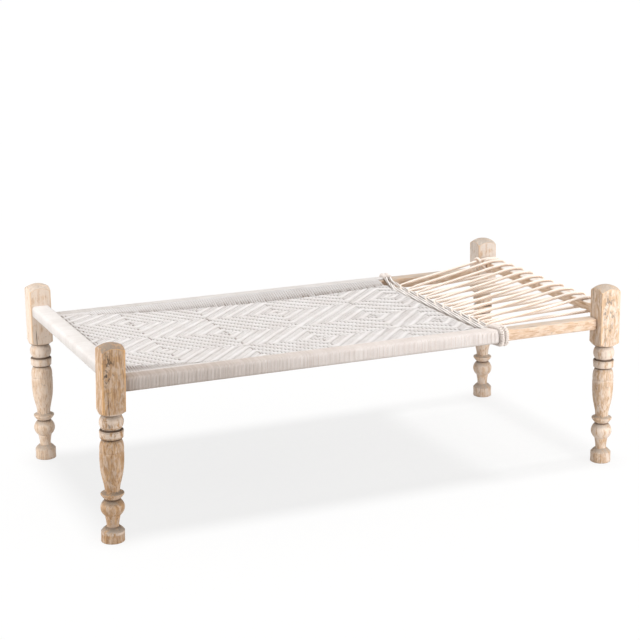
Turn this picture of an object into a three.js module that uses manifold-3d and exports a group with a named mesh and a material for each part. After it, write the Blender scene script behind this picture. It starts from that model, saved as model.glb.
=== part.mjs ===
// Charpai: a low rope bed on four turned legs. Two long side rails and two short end rails are tenoned into
// the square blocks of the legs. A woven panel fills the frame from the head rail to a thick foot rope, and a
// single cord, laced between that rope and the bare foot rail, pulls the panel tight.
// Lengths are in millimetres. +X runs to the laced foot end, +Y to the back, +Z up. The origin is on the
// floor, under the middle of the bed.
import * as THREE from "three";
import { mergeVertices } from "three/addons/utils/BufferGeometryUtils.js";
import Module from "manifold-3d";

const wasm = await Module();
wasm.setup();

// Frame
const legSpacingX = 1828; // between the axes of a head leg and a foot leg
const legSpacingY = 900; // between the axes of a front leg and a back leg
const fitGap = 0.3; // between pieces that touch or fit
const cutOverrun = 3; // how far a cut, or a joined piece, runs past the face that it crosses
const mergeDistance = 1e-4; // corners this close are one corner

// Leg, from the floor up: the height and the largest radius of each turning
const footHeight = 50;
const footRadius = 36.8;
const neckHeight = 39;
const neckRadius = 24;
const bulbHeight = 57;
const bulbRadius = 37.6;
const dishHeight = 30;
const dishRadius = 36.5;
const vaseHeight = 179;
const vaseRadius = 38;
const discHeight = 31;
const discRadius = 37.6;
const bunHeight = 52;
const bunRadius = 37.8;
const blockHeight = 222;
const blockWidth = 77;
const blockEdgeRound = 3; // worn arris of the square block
const domeRadius = 73; // sphere to which the block's top is turned
const shoulderHeight = 14; // cone turned off the block's lower corners
const legSides = 20;
const blockSides = 24;

// The legs are turned and set by hand, so each differs a little: how thick its turnings are and how tall they
// stand under the block, as shares of the sizes above, and how far its foot lies aside, along the bed
const frontHeadLeanLength = -14;
const backFootLeanLength = 6;
const handShares = {
  head_front: { thicknessShare: 1.05, turnedHeightShare: 0.98 },
  head_back: { thicknessShare: 1.01, turnedHeightShare: 1 },
  foot_front: { thicknessShare: 0.99, turnedHeightShare: 1 },
  foot_back: { thicknessShare: 1, turnedHeightShare: 1 },
};

// Outline of each turning, as [share of its height, share of its radius]
const footShares = [[0, 0.95], [0.05, 1], [0.74, 1], [0.92, 0.82], [1, 0.66]];
const neckShares = [[0.05, 0.8], [0.95, 0.98]];
const dishShares = [[0, 0.62], [0.12, 0.72], [0.4, 0.9], [0.6, 1], [0.72, 0.98], [0.84, 0.76], [1, 0.64]];
const vaseShares = [
  [0.04, 0.62], [0.12, 0.68], [0.22, 0.79], [0.35, 0.91], [0.5, 0.975], [0.66, 1],
  [0.74, 0.985], [0.755, 0.955], [0.77, 0.99], [0.88, 0.985], [0.95, 0.91], [0.985, 0.76],
];
const discShares = [
  [0, 0.76], [0.04, 0.92], [0.5, 0.98], [0.74, 1], [0.79, 0.965], [0.84, 1], [0.93, 0.96], [0.97, 0.78],
];
const bulbEndShare = 0.62; // radius at the ends of the bulb
const bulbSpanShares = [0.02, 0.98]; // of its height
const bunEndShare = 0.76; // radius at the ends of the bun
const bunSpanShares = [0.01, 0.91]; // the groove under the block starts where the bun ends
const swellSteps = 6;
const swellPower = 0.75; // below 1, the swelling is fuller than half a wave
const domeSteps = 5;

// Side rails, and the tenons at their ends
const sideRailBottom = 500;
const sideRailHeight = 41;
const sideRailWidth = 50;
const sideRailInset = 13; // from the leg's axis to the rail's, inwards
const sideTenonWidth = 32;
const sideTenonHeight = 25;
const railEdgeRound = 7; // long edges of every rail
const pillowRound = 5; // rounding of a rail's shoulders, where it meets the leg
const tenonLength = 48;

// End rails, which lie above the side rails
const endRailRise = 6; // from the top of a side rail to the underside of an end rail
const endRailHeight = 34;
const endRailWidth = 55;
const endTenonWidth = 36;
const endTenonHeight = 20;
const shavedNeckLength = 72; // thinned stretch of the foot rail beside the front leg
const shavedNeckDepth = 4; // wood taken off each side of it
const shavedNeckDrop = 2; // wood taken off its top and its underside

// Cord wound over the rails as part of the weave
const wrapThickness = 4.5;

// Woven panel
const panelThickness = 8;
const borderWidth = 45; // sloping strip between a side rail and the patterned field
const headSlopeLength = 60; // stretch over which the panel leaves the head rail as two layers
const headLayerDepth = 10; // between those two layers at the head rail
const panelSag = 33;
const fieldRise = 8; // from the middle of the field to its side
const panelRopeGap = 1.6; // between the panel's edge and the foot rope
const edgeDrop = 1; // from the top of the wrapped side rail to the panel's edge
const sagPower = 0.75;
const panelHeadShare = 0.4; // height on the head rail at which the panel leaves it
const panelLengthShares = [
  0, 0.022, 0.044, 0.09, 0.15, 0.22, 0.3, 0.38, 0.46, 0.54, 0.62, 0.7, 0.78, 0.86, 0.93, 0.97, 1,
];
const panelFieldShares = [0, 0.2, 0.4, 0.58, 0.72, 0.86, 1];
const panelBorderShares = [0.5, 1];

// Foot rope
const panelReach = 1353; // from the head rail's axis to the rope's first pass, at the side rails
const ropeRadius = 6; // in its three passes across the bed
const passGap = 1.7; // between the first two passes
const turnRadius = 7.9; // on the side rails, where it is bound with fine cord
const turnGap = 2.6; // between two turns, measured along the rail
const ropeBow = 8; // the tension cord pulls the middle of the rope towards the foot
const ropeSkew = 11; // the front of the rope lies nearer to the foot
const frontVeer = 17; // the passes swing towards the foot where they reach the rails
const frontVeerLength = 45;
const backVeer = 34;
const backVeerLength = 150;
const ropeTopDrop = 5; // from the side rail's top to the middle of the passes, at the side rails
const ropeSag = 5; // more drop at mid-width
const underDrop = 14; // at a rail, the pass that comes from underneath lies this much lower
const ropeBendRadius = 13; // where that pass leaves the inner face of the rail
const railApproachLength = 19.5; // from the rail's inner face to where a pass starts to rise to its turn
const frontSwingLength = 20; // along the front rail, to the turn's place on the outer side
const frontDriftLength = 6; // shift along the front rail after one whole turn
const backSwingLength = 4;
const backDriftLength = 9;
const frontSlantLength = 16; // the wound cord ends aslant beside the rope: further at the rail's outer side
const backSlantLength = 6;
const ropeSides = 8;
const passShares = [
  0, 0.015, 0.03, 0.045, 0.06, 0.08, 0.11, 0.15, 0.24, 0.37,
  0.5, 0.63, 0.76, 0.85, 0.89, 0.92, 0.94, 0.955, 0.97, 0.985, 1,
];

// Tension cord
const cordRadius = 5.5;
const cordClearance = 1; // more room for it between two passes of the rope
const lacePitch = 75; // between its turns on the foot rail
const laceStartLength = 77.5; // from the front leg's axis to the first turn on the foot rail, past the block
const laceEndRoom = 45; // left free before the last turns beside the back leg
const laceFanShare = 0.884; // pitch at the rope, of the pitch at the rail
const laceRopeStartLength = 28; // how much nearer to the front leg the first turn on the rope lies
const laceTurnShiftLength = 20; // shift along the foot rail while the cord goes round it
const laceHookShiftLength = 33; // shift along the rope while the cord goes round it
const cordSides = 6;
const startHitchGap = 1.5; // between the first two turns on the rope
const lastTurnsGap = 3.5; // between the last two turns on the foot rail
const endTurnGap = 22; // from the back leg's block to the last turn on the foot rail
const hitchReach = 24; // from the foot rail to the cord's end hitch
const tailLength = 38;

// Places that follow from the sizes
const half = 0.5;
const thirdShares = [1 / 3, 2 / 3];
const blockHalf = blockWidth * half;
const turnedHeight = footHeight + neckHeight + bulbHeight + dishHeight + vaseHeight + discHeight + bunHeight;
const legHeight = turnedHeight + blockHeight;
const legX = legSpacingX * half;
const legY = legSpacingY * half;
const sideRailY = legY - sideRailInset;
const sideRailZ = sideRailBottom + sideRailHeight * half;
const sideRailTop = sideRailBottom + sideRailHeight;
const sideRailLength = legSpacingX - blockWidth - 2 * fitGap;
const endRailBottom = sideRailTop + endRailRise;
const endRailZ = endRailBottom + endRailHeight * half;
const endRailLength = legSpacingY - blockWidth - 2 * fitGap;
const wrapSideInner = sideRailY - sideRailWidth * half - wrapThickness;
const wrapHeadInner = -legX + endRailWidth * half + wrapThickness;

// Materials: worn, white-washed mango wood and undyed cotton cord
function material(colour, roughness) {
  return new THREE.MeshStandardMaterial({ color: colour, roughness, metalness: 0 });
}
const bed = new THREE.Group();

function addPiece(name, geometry, colour, roughness) {
  const mesh = new THREE.Mesh(geometry, material(colour, roughness));
  mesh.name = name;
  bed.add(mesh);
}

// Solid of a closed geometry: shared corners merged, and triangles without area left out
function solidOf(geometry) {
  const bare = geometry.clone();
  bare.deleteAttribute("normal");
  bare.deleteAttribute("uv");
  const merged = mergeVertices(bare, mergeDistance);
  const corners = merged.index.array;
  const kept = [];
  for (let i = 0; i < corners.length; i += 3) {
    const [a, b, c] = [corners[i], corners[i + 1], corners[i + 2]];
    if (a !== b && b !== c && c !== a) kept.push(a, b, c);
  }
  const mesh = new wasm.Mesh({
    numProp: 3,
    vertProperties: new Float32Array(merged.attributes.position.array),
    triVerts: new Uint32Array(kept),
  });
  return new wasm.Manifold(mesh);
}

function geometryOf(solid) {
  const mesh = solid.getMesh();
  const geometry = new THREE.BufferGeometry();
  geometry.setAttribute("position", new THREE.BufferAttribute(mesh.vertProperties, mesh.numProp));
  geometry.setIndex(new THREE.BufferAttribute(mesh.triVerts, 1));
  geometry.computeVertexNormals();
  return geometry;
}

// Profiles and prisms
function roundedRectangle(width, height, radius) {
  const [w, h] = [width * half, height * half];
  const shape = new THREE.Shape();
  shape.moveTo(-w + radius, -h);
  shape.lineTo(w - radius, -h);
  shape.absarc(w - radius, -h + radius, radius, -Math.PI / 2, 0, false);
  shape.lineTo(w, h - radius);
  shape.absarc(w - radius, h - radius, radius, 0, Math.PI / 2, false);
  shape.lineTo(-w + radius, h);
  shape.absarc(-w + radius, h - radius, radius, Math.PI / 2, Math.PI, false);
  shape.lineTo(-w, -h + radius);
  shape.absarc(-w + radius, -h + radius, radius, Math.PI, Math.PI * 1.5, false);
  return shape;
}

const railSegments = 3; // in a quarter of a rounding
const tenonSegments = 2;
const arrisSegments = 1;
const endSegments = 2;

// A prism from z = 0 up, whose ends are rounded where a rounding is given
function prism(shape, length, rounding, curveSegments) {
  const geometry = new THREE.ExtrudeGeometry(shape, {
    depth: length - 2 * rounding,
    curveSegments,
    bevelEnabled: rounding > 0,
    bevelThickness: rounding,
    bevelSize: rounding,
    bevelOffset: -rounding,
    bevelSegments: endSegments,
  });
  return geometry.translate(0, 0, rounding);
}

// Turn a prism's length to an axis: its section's width goes across, and its height stays up
const xAxis = new THREE.Vector3(1, 0, 0);
const yAxis = new THREE.Vector3(0, 1, 0);
const zAxis = new THREE.Vector3(0, 0, 1);
const alongX = new THREE.Matrix4().makeBasis(yAxis, zAxis, xAxis);
const alongY = new THREE.Matrix4().makeBasis(xAxis.clone().negate(), zAxis, yAxis);

// Tenons, and the same shapes with room for the fit as mortises
function tenon(width, height, clearance) {
  const rounding = railEdgeRound * half + clearance;
  const shape = roundedRectangle(width + 2 * clearance, height + 2 * clearance, rounding);
  return prism(shape, tenonLength + cutOverrun + clearance, 0, tenonSegments).translate(0, 0, -cutOverrun);
}

// Leg
function swellShares([start, end], endShare) {
  const shares = [];
  for (let i = 0; i <= swellSteps; i += 1) {
    const t = i / swellSteps;
    const bulge = Math.pow(Math.sin(Math.PI * t), swellPower);
    shares.push([start + (end - start) * t, endShare + (1 - endShare) * bulge]);
  }
  return shares;
}

const turnings = [
  { height: footHeight, radius: footRadius, shares: footShares },
  { height: neckHeight, radius: neckRadius, shares: neckShares },
  { height: bulbHeight, radius: bulbRadius, shares: swellShares(bulbSpanShares, bulbEndShare) },
  { height: dishHeight, radius: dishRadius, shares: dishShares },
  { height: vaseHeight, radius: vaseRadius, shares: vaseShares },
  { height: discHeight, radius: discRadius, shares: discShares },
  { height: bunHeight, radius: bunRadius, shares: swellShares(bunSpanShares, bunEndShare) },
];

function turnedShaft(shares) {
  const profile = [new THREE.Vector2(0, 0)];
  let base = 0;
  for (const turning of turnings) {
    for (const [rise, reach] of turning.shares) {
      const height = (base + turning.height * rise) * shares.turnedHeightShare;
      profile.push(new THREE.Vector2(turning.radius * reach * shares.thicknessShare, height));
    }
    base += turning.height;
  }
  const top = turnedHeight * shares.turnedHeightShare + cutOverrun;
  profile.push(new THREE.Vector2(bunRadius * bunEndShare * shares.thicknessShare, top));
  profile.push(new THREE.Vector2(0, top));
  return new THREE.LatheGeometry(profile, legSides).rotateX(Math.PI / 2);
}

// The square block, turned to a dome above and to a cone under its corners
function turnedBlock(blockBottom) {
  const cornerReach = blockHalf * Math.SQRT2 + cutOverrun;
  const profile = [
    new THREE.Vector2(0, blockBottom),
    new THREE.Vector2(blockHalf, blockBottom),
    new THREE.Vector2(cornerReach, blockBottom + shoulderHeight),
  ];
  const startAngle = Math.asin(cornerReach / domeRadius);
  for (let i = 0; i <= domeSteps; i += 1) {
    const angle = startAngle * (1 - i / domeSteps);
    const drop = domeRadius * (1 - Math.cos(angle));
    profile.push(new THREE.Vector2(domeRadius * Math.sin(angle), legHeight - drop));
  }
  const envelope = new THREE.LatheGeometry(profile, blockSides).rotateX(Math.PI / 2);
  const section = roundedRectangle(blockWidth, blockWidth, blockEdgeRound);
  const square = prism(section, legHeight - blockBottom, 0, arrisSegments);
  return solidOf(envelope).intersect(solidOf(square.translate(0, 0, blockBottom)));
}

// A leaning leg keeps its place where the side rail's top meets it
function plainLeg(shares, lean) {
  const upright = solidOf(turnedShaft(shares)).add(turnedBlock(turnedHeight * shares.turnedHeightShare));
  const slope = lean / sideRailTop;
  const leaned = new THREE.Matrix4().makeShear(0, 0, 0, 0, -slope, 0).setPosition(lean, 0, 0);
  return upright.transform(leaned.elements);
}

function makeLeg(endSign, sideSign, shares, lean) {
  const sideMortise = tenon(sideTenonWidth, sideTenonHeight, fitGap).applyMatrix4(alongX);
  if (endSign < 0) sideMortise.rotateZ(Math.PI);
  sideMortise.translate(endSign * (legX - blockHalf), sideSign * sideRailY, sideRailZ);
  const endMortise = tenon(endTenonWidth, endTenonHeight, fitGap).applyMatrix4(alongY);
  if (sideSign < 0) endMortise.rotateZ(Math.PI);
  endMortise.translate(endSign * legX, sideSign * (legY - blockHalf), endRailZ);
  const placed = plainLeg(shares, lean).translate([endSign * legX, sideSign * legY, 0]);
  return geometryOf(placed.subtract(solidOf(sideMortise)).subtract(solidOf(endMortise)));
}

// Rails: the body between two blocks, and a blind tenon at each end
function withTenons(body, length, width, height) {
  const far = tenon(width, height, 0).translate(0, 0, length * half);
  const near = far.clone().rotateY(Math.PI);
  return body.add(solidOf(far)).add(solidOf(near));
}

function sideRail() {
  const section = roundedRectangle(sideRailWidth, sideRailHeight, railEdgeRound);
  const body = prism(section, sideRailLength, pillowRound, railSegments);
  body.translate(0, 0, -sideRailLength * half);
  const rail = withTenons(solidOf(body), sideRailLength, sideTenonWidth, sideTenonHeight);
  return geometryOf(rail).applyMatrix4(alongX);
}

function headRail() {
  const section = roundedRectangle(endRailWidth, endRailHeight, railEdgeRound);
  const body = prism(section, endRailLength, pillowRound, railSegments);
  body.translate(0, 0, -endRailLength * half);
  const rail = withTenons(solidOf(body), endRailLength, endTenonWidth, endTenonHeight);
  return geometryOf(rail).applyMatrix4(alongY);
}

function footRail() {
  const fullLength = endRailLength - shavedNeckLength;
  const section = roundedRectangle(endRailWidth, endRailHeight, railEdgeRound);
  const body = prism(section, fullLength, pillowRound, railSegments);
  body.translate(0, 0, endRailLength * half - fullLength);
  const neckWidth = endRailWidth - 2 * shavedNeckDepth;
  const shavedHeight = endRailHeight - 2 * shavedNeckDrop;
  const neckSection = roundedRectangle(neckWidth, shavedHeight, railEdgeRound - shavedNeckDrop);
  const neck = prism(neckSection, shavedNeckLength + 2 * pillowRound, 0, railSegments);
  neck.translate(0, 0, -endRailLength * half);
  const joined = solidOf(body).add(solidOf(neck));
  return geometryOf(withTenons(joined, endRailLength, endTenonWidth, endTenonHeight)).applyMatrix4(alongY);
}

// Sleeve of wound cord round a rail, whose far end runs aslant where a slant is given
function sleeve(width, height, length, slant) {
  const outer = roundedRectangle(
    width + 2 * wrapThickness,
    height + 2 * wrapThickness,
    railEdgeRound + wrapThickness,
  );
  const bore = roundedRectangle(width + 2 * fitGap, height + 2 * fitGap, railEdgeRound + fitGap);
  outer.holes.push(new THREE.Path(bore.getPoints(railSegments).reverse()));
  const geometry = prism(outer, length, 0, railSegments);
  const corners = geometry.attributes.position;
  const fullWidth = width + 2 * wrapThickness;
  for (let i = 0; i < corners.count; i += 1) {
    const lengthways = corners.getZ(i);
    const across = corners.getX(i) / fullWidth + half * Math.sign(slant);
    if (lengthways > length * half) corners.setZ(i, lengthways + slant * across);
  }
  return geometry;
}

// Closed round tube with a ring of corners at each point
function ropeTube(points, radii, sides) {
  const positions = [];
  const index = [];
  const tangentAt = (i) => {
    const before = points[Math.max(i - 1, 0)];
    const after = points[Math.min(i + 1, points.length - 1)];
    return after.clone().sub(before).normalize();
  };
  const start = tangentAt(0);
  let across = new THREE.Vector3().crossVectors(start, Math.abs(start.x) < half ? xAxis : yAxis);
  points.forEach((point, i) => {
    const tangent = tangentAt(i);
    across = across.clone().addScaledVector(tangent, -across.dot(tangent)).normalize();
    const beside = new THREE.Vector3().crossVectors(tangent, across);
    for (let j = 0; j < sides; j += 1) {
      const turn = (2 * Math.PI * j) / sides;
      const corner = point.clone();
      corner.addScaledVector(across, radii[i] * Math.cos(turn));
      corner.addScaledVector(beside, radii[i] * Math.sin(turn));
      positions.push(corner.x, corner.y, corner.z);
    }
  });
  for (let i = 0; i < points.length - 1; i += 1) {
    for (let j = 0; j < sides; j += 1) {
      const [a, b] = [i * sides + j, i * sides + ((j + 1) % sides)];
      index.push(a, b, a + sides, b, b + sides, a + sides);
    }
  }
  const last = (points.length - 1) * sides;
  for (let j = 1; j < sides - 1; j += 1) {
    index.push(0, j + 1, j);
    index.push(last, last + j, last + j + 1);
  }
  const geometry = new THREE.BufferGeometry();
  geometry.setAttribute("position", new THREE.Float32BufferAttribute(positions, 3));
  geometry.setIndex(index);
  geometry.computeVertexNormals();
  return geometry;
}

// Least gap of a wound tube to itself, between stretches that don't follow each other closely
const nextStretch = 6; // along the tube, in radii
function reportSelfGap(name, points, radii) {
  const samples = [];
  let length = 0;
  for (let i = 0; i < points.length - 1; i += 1) {
    const span = points[i].distanceTo(points[i + 1]);
    const steps = Math.max(1, Math.ceil(span / radii[i]));
    for (let k = 0; k < steps; k += 1) {
      const t = k / steps;
      const radius = radii[i] + (radii[i + 1] - radii[i]) * t;
      samples.push({ at: points[i].clone().lerp(points[i + 1], t), radius, run: length + span * t });
    }
    length += span;
  }
  let least = Infinity;
  let place = points[0];
  samples.forEach((a, i) => {
    for (const b of samples.slice(i + 1)) {
      if (b.run - a.run < nextStretch * a.radius) continue;
      const gap = a.at.distanceTo(b.at) - a.radius - b.radius;
      if (gap < least) [least, place] = [gap, a.at];
    }
  });
  const where = place.toArray().map(Math.round).join(", ");
  console.log(`${name}: least gap to itself ${least.toFixed(2)} mm, at ${where}`);
}

// Points round a rail's rounded section, at an offset from it. u runs outwards, v up, and the path goes over
// the top from the inner side, down the outer side and back underneath.
const innerTop = [-1, 1];
const outerTop = [1, 1];
const outerBottom = [1, -1];
const innerBottom = [-1, -1];

function roundSection(width, height, offset, stops) {
  return stops.map(([[u, v], degrees]) => {
    const angle = THREE.MathUtils.degToRad(degrees);
    const reach = railEdgeRound + offset;
    return {
      u: u * (width * half - railEdgeRound) + reach * Math.cos(angle),
      v: v * (height * half - railEdgeRound) + reach * Math.sin(angle),
    };
  });
}

// Foot rope: where its passes lie
const smooth = (t) => THREE.MathUtils.smoothstep(t, 0, 1);
const railInner = sideRailY - sideRailWidth * half;
const passOffsets = [
  0,
  2 * ropeRadius + passGap,
  4 * ropeRadius + passGap + 2 * cordRadius + 2 * fitGap + cordClearance,
];

// At a rail two passes go over the top, side by side, and the third comes up between or beside them
const turnPitch = 2 * turnRadius + turnGap;
const frontEnds = {
  veer: frontVeer,
  length: frontVeerLength,
  reach: [0, turnPitch, turnPitch + frontDriftLength],
  fromUnder: 2,
};
const backEnds = {
  veer: backVeer,
  length: backVeerLength,
  reach: [0, backDriftLength, turnPitch],
  fromUnder: 1,
};
const endsAt = (y) => (y < 0 ? frontEnds : backEnds);

// 0 along the open bed, rising to 1 at the rail
function endShare(y) {
  const { length } = endsAt(y);
  return smooth((Math.abs(y) - railInner + length) / length);
}

function passX(pass, y) {
  const share = y / railInner;
  const bowed = ropeBow * (1 - share * share) - ropeSkew * share;
  const { veer, reach } = endsAt(y);
  const shift = veer + reach[pass] - passOffsets[pass];
  return -legX + panelReach + bowed + passOffsets[pass] + shift * endShare(y);
}

function passZ(y) {
  const share = y / railInner;
  return sideRailTop - ropeTopDrop - ropeSag * (1 - share * share);
}

function passPoint(pass, y) {
  const drop = endsAt(y).fromUnder === pass ? underDrop * endShare(y) : 0;
  return new THREE.Vector3(passX(pass, y), y, passZ(y) - drop);
}

// One whole turn on a side rail, from its inner top edge over the outer side to its inner side. It swings
// towards the foot on the outer side, and ends a little further along than it starts.
const turnDegrees = [
  [innerTop, 125], [innerTop, 108], [innerTop, 90],
  [outerTop, 90], [outerTop, 68], [outerTop, 45], [outerTop, 22], [outerTop, 0],
  [outerBottom, 0], [outerBottom, -22], [outerBottom, -45], [outerBottom, -68], [outerBottom, -90],
  [innerBottom, -90], [innerBottom, -112], [innerBottom, -135], [innerBottom, -158], [innerBottom, -180],
];

function railTurn(sideSign, startX, outerShift, drift) {
  const section = roundSection(sideRailWidth, sideRailHeight, turnRadius + fitGap, turnDegrees);
  const runs = [0];
  for (let i = 1; i < section.length; i += 1) {
    const step = Math.hypot(section[i].u - section[i - 1].u, section[i].v - section[i - 1].v);
    runs.push(runs[i - 1] + step);
  }
  return section.map(({ u, v }, i) => {
    const share = runs[i] / runs[runs.length - 1];
    const x = startX + outerShift * Math.sin(Math.PI * share) + drift * share;
    return { point: new THREE.Vector3(x, sideSign * (sideRailY + u), sideRailZ + v), radius: turnRadius };
  });
}

// The bend by which a pass leaves the inner side of a rail
const bendDegrees = [0, 30, 60, 90];
const wholeBendDegrees = 90;
function innerBend(sideSign, x) {
  const face = railInner - turnRadius - fitGap;
  const level = passZ(railInner) - underDrop;
  return bendDegrees.map((degrees) => {
    const angle = THREE.MathUtils.degToRad(degrees);
    const y = sideSign * (face - ropeBendRadius * (1 - Math.cos(angle)));
    const z = level - ropeBendRadius * (1 - Math.sin(angle));
    return {
      point: new THREE.Vector3(x, y, z),
      radius: turnRadius + ((ropeRadius - turnRadius) * degrees) / wholeBendDegrees,
    };
  });
}

function ropePass(pass, fromSign, firstReach, lastReach) {
  return passShares.map((share) => {
    const y = fromSign * (firstReach - (lastReach + firstReach) * share);
    return { point: passPoint(pass, y), radius: ropeRadius };
  });
}

function footRopePath() {
  const frontX = passX(0, -railInner);
  const backX = passX(0, railInner);
  const overReach = railInner - railApproachLength;
  const innerReach = railInner - turnRadius - fitGap - railApproachLength;
  const firstTurn = railTurn(-1, frontX, frontSwingLength, frontDriftLength).reverse();
  const secondTurn = railTurn(-1, frontX + turnPitch, frontSwingLength, frontDriftLength);
  const thirdTurn = railTurn(1, backX, backSwingLength, backDriftLength);
  const fourthTurn = railTurn(1, backX + turnPitch, backSwingLength, backDriftLength);
  const stub = (turn, at) => ({
    point: turn[at].point.clone().add(new THREE.Vector3(0, 0, 2 * turnRadius)),
    radius: turnRadius,
  });
  return [
    stub(firstTurn, 0),
    ...firstTurn,
    ...ropePass(0, -1, overReach, overReach),
    ...thirdTurn,
    ...innerBend(1, backX + backDriftLength),
    ...ropePass(1, 1, innerReach, overReach),
    ...secondTurn,
    ...innerBend(-1, frontX + turnPitch + frontDriftLength),
    ...ropePass(2, -1, innerReach, overReach),
    ...fourthTurn,
    stub(fourthTurn, fourthTurn.length - 1),
  ];
}

// Tension cord: over the foot rail, back underneath, and round the rope's last pass
const railDegrees = [
  [innerTop, 90], [outerTop, 90], [outerTop, 60], [outerTop, 30], [outerTop, 0],
  [outerBottom, 0], [outerBottom, -30], [outerBottom, -60], [outerBottom, -90], [innerBottom, -90],
];
const upInnerDegrees = [[innerBottom, -120], [innerBottom, -150], [innerBottom, -180]];
const overInnerDegrees = [[innerTop, 180], [innerTop, 150], [innerTop, 120]];
const hookDegrees = [-90, -125, -160, 165, 130, 95];
const startHookDegrees = [0, -45, ...hookDegrees];
const hookRadius = ropeRadius + cordRadius + 2 * fitGap;
const hitchDegrees = [200, 170, 140, 115, 90, 65, 40, 15, -5];
const hitchRadius = 2 * (cordRadius + cordClearance);
const startHitchPitch = 2 * cordRadius + startHitchGap;
const endTurnPitch = 2 * cordRadius + lastTurnsGap;
const firstTurnY = -legY + blockHalf + laceStartLength;
const lastTurnY = legY - blockHalf - endTurnGap;
const laceTurns = 1 + Math.floor((lastTurnY - firstTurnY - laceEndRoom) / lacePitch);

function ropeHook(fromY, toY, degreesList) {
  return degreesList.map((degrees, i) => {
    const y = fromY + ((toY - fromY) * i) / (degreesList.length - 1);
    const angle = THREE.MathUtils.degToRad(degrees);
    const slant = (passX(2, y + cordRadius) - passX(2, y - cordRadius)) / (2 * cordRadius);
    const beside = new THREE.Vector3(1, -slant, 0).normalize();
    const point = passPoint(2, y).addScaledVector(zAxis, hookRadius * Math.sin(angle));
    return point.addScaledVector(beside, hookRadius * Math.cos(angle));
  });
}

function footRailTurn(y, shift, angles) {
  const path = roundSection(endRailWidth, endRailHeight, cordRadius + fitGap, angles);
  return path.map(({ u, v }, i) => new THREE.Vector3(
    legX + u,
    y - (shift * i) / (path.length - 1),
    endRailZ + v,
  ));
}

function straightRun(from, to) {
  return thirdShares.map((share) => from.clone().lerp(to, share));
}

function tensionCordPath() {
  const ropeY = (turn) => firstTurnY - laceRopeStartLength + laceFanShare * lacePitch * turn;
  const hitch = ropeHook(ropeY(0) - startHitchPitch, ropeY(0), startHookDegrees);
  const stub = hitch[0].clone().add(new THREE.Vector3(0, 0, 2 * cordRadius));
  const path = [stub, ...hitch];
  for (let turn = 0; turn < laceTurns; turn += 1) {
    const over = footRailTurn(firstTurnY + lacePitch * turn, laceTurnShiftLength, railDegrees);
    path.push(...straightRun(path[path.length - 1], over[0]), ...over);
    const nextY = ropeY(turn + 1);
    const hook = ropeHook(nextY - laceHookShiftLength, nextY, hookDegrees);
    path.push(...straightRun(path[path.length - 1], hook[0]), ...hook);
  }
  return path.concat(endHitch(path[path.length - 1]));
}

// Two turns on the foot rail beside the back leg, then a hitch round the last strand and a hanging tail
function endHitch(from) {
  const inner = legX - endRailWidth * half - cordRadius - fitGap;
  const first = footRailTurn(lastTurnY, endTurnPitch, [...railDegrees, ...upInnerDegrees]);
  const second = footRailTurn(
    lastTurnY - endTurnPitch,
    endTurnPitch,
    [...overInnerDegrees, ...railDegrees, ...upInnerDegrees.slice(0, 2)],
  );
  const hitch = hitchDegrees.map((degrees, i) => {
    const angle = THREE.MathUtils.degToRad(degrees);
    const x = inner - hitchReach - (startHitchPitch * i) / (hitchDegrees.length - 1);
    const standing = from.clone().lerp(first[0], (x - from.x) / (first[0].x - from.x));
    standing.y += hitchRadius * Math.cos(angle);
    return standing.addScaledVector(zAxis, hitchRadius * Math.sin(angle));
  });
  const tail = [tailLength * half, tailLength].map((drop) => (
    hitch[hitch.length - 1].clone().addScaledVector(zAxis, -drop)
  ));
  return [...straightRun(from, first[0]), ...first, ...second, ...hitch, ...tail];
}

// Woven panel
const panelHead = wrapHeadInner + fitGap;
const panelSide = wrapSideInner - fitGap;
const fieldSide = panelSide - borderWidth;
const sideEdgeZ = sideRailTop + wrapThickness - edgeDrop;
const headEdgeZ = endRailBottom + endRailHeight * panelHeadShare;
const sideEdgeDepth = sideEdgeZ - sideRailBottom;

function panelPoint(share, y, layer) {
  const slope = (passX(0, y + ropeRadius) - passX(0, y - ropeRadius)) / (2 * ropeRadius);
  const ropeReach = ropeRadius + (turnRadius - ropeRadius) * endShare(y) + panelRopeGap;
  const footX = passX(0, y) - ropeReach * Math.hypot(1, slope);
  const x = panelHead + (footX - panelHead) * share;
  const footEdgeZ = passZ(y) + ropeRadius * half;
  const chord = headEdgeZ + (footEdgeZ - headEdgeZ) * share;
  const sag = panelSag * Math.pow(4 * share * (1 - share), sagPower);
  const aside = Math.min(Math.abs(y) / fieldSide, 1);
  const climb = Math.max(Math.abs(y) - fieldSide, 0) / borderWidth;
  const sagShare = sag / panelSag;
  const field = chord - sag + fieldRise * aside * aside * sagShare;
  const top = field + (sideEdgeZ - field) * climb;
  const nearHead = 1 - smooth((x - panelHead) / headSlopeLength);
  const nearFoot = smooth((footX - x) / borderWidth);
  const sideDepth = (sideEdgeDepth - panelThickness) * climb * (1 - nearHead) * nearFoot;
  const depth = panelThickness + sideDepth + headLayerDepth * nearHead;
  return [x, y, layer === 0 ? top : top - depth];
}

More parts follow.
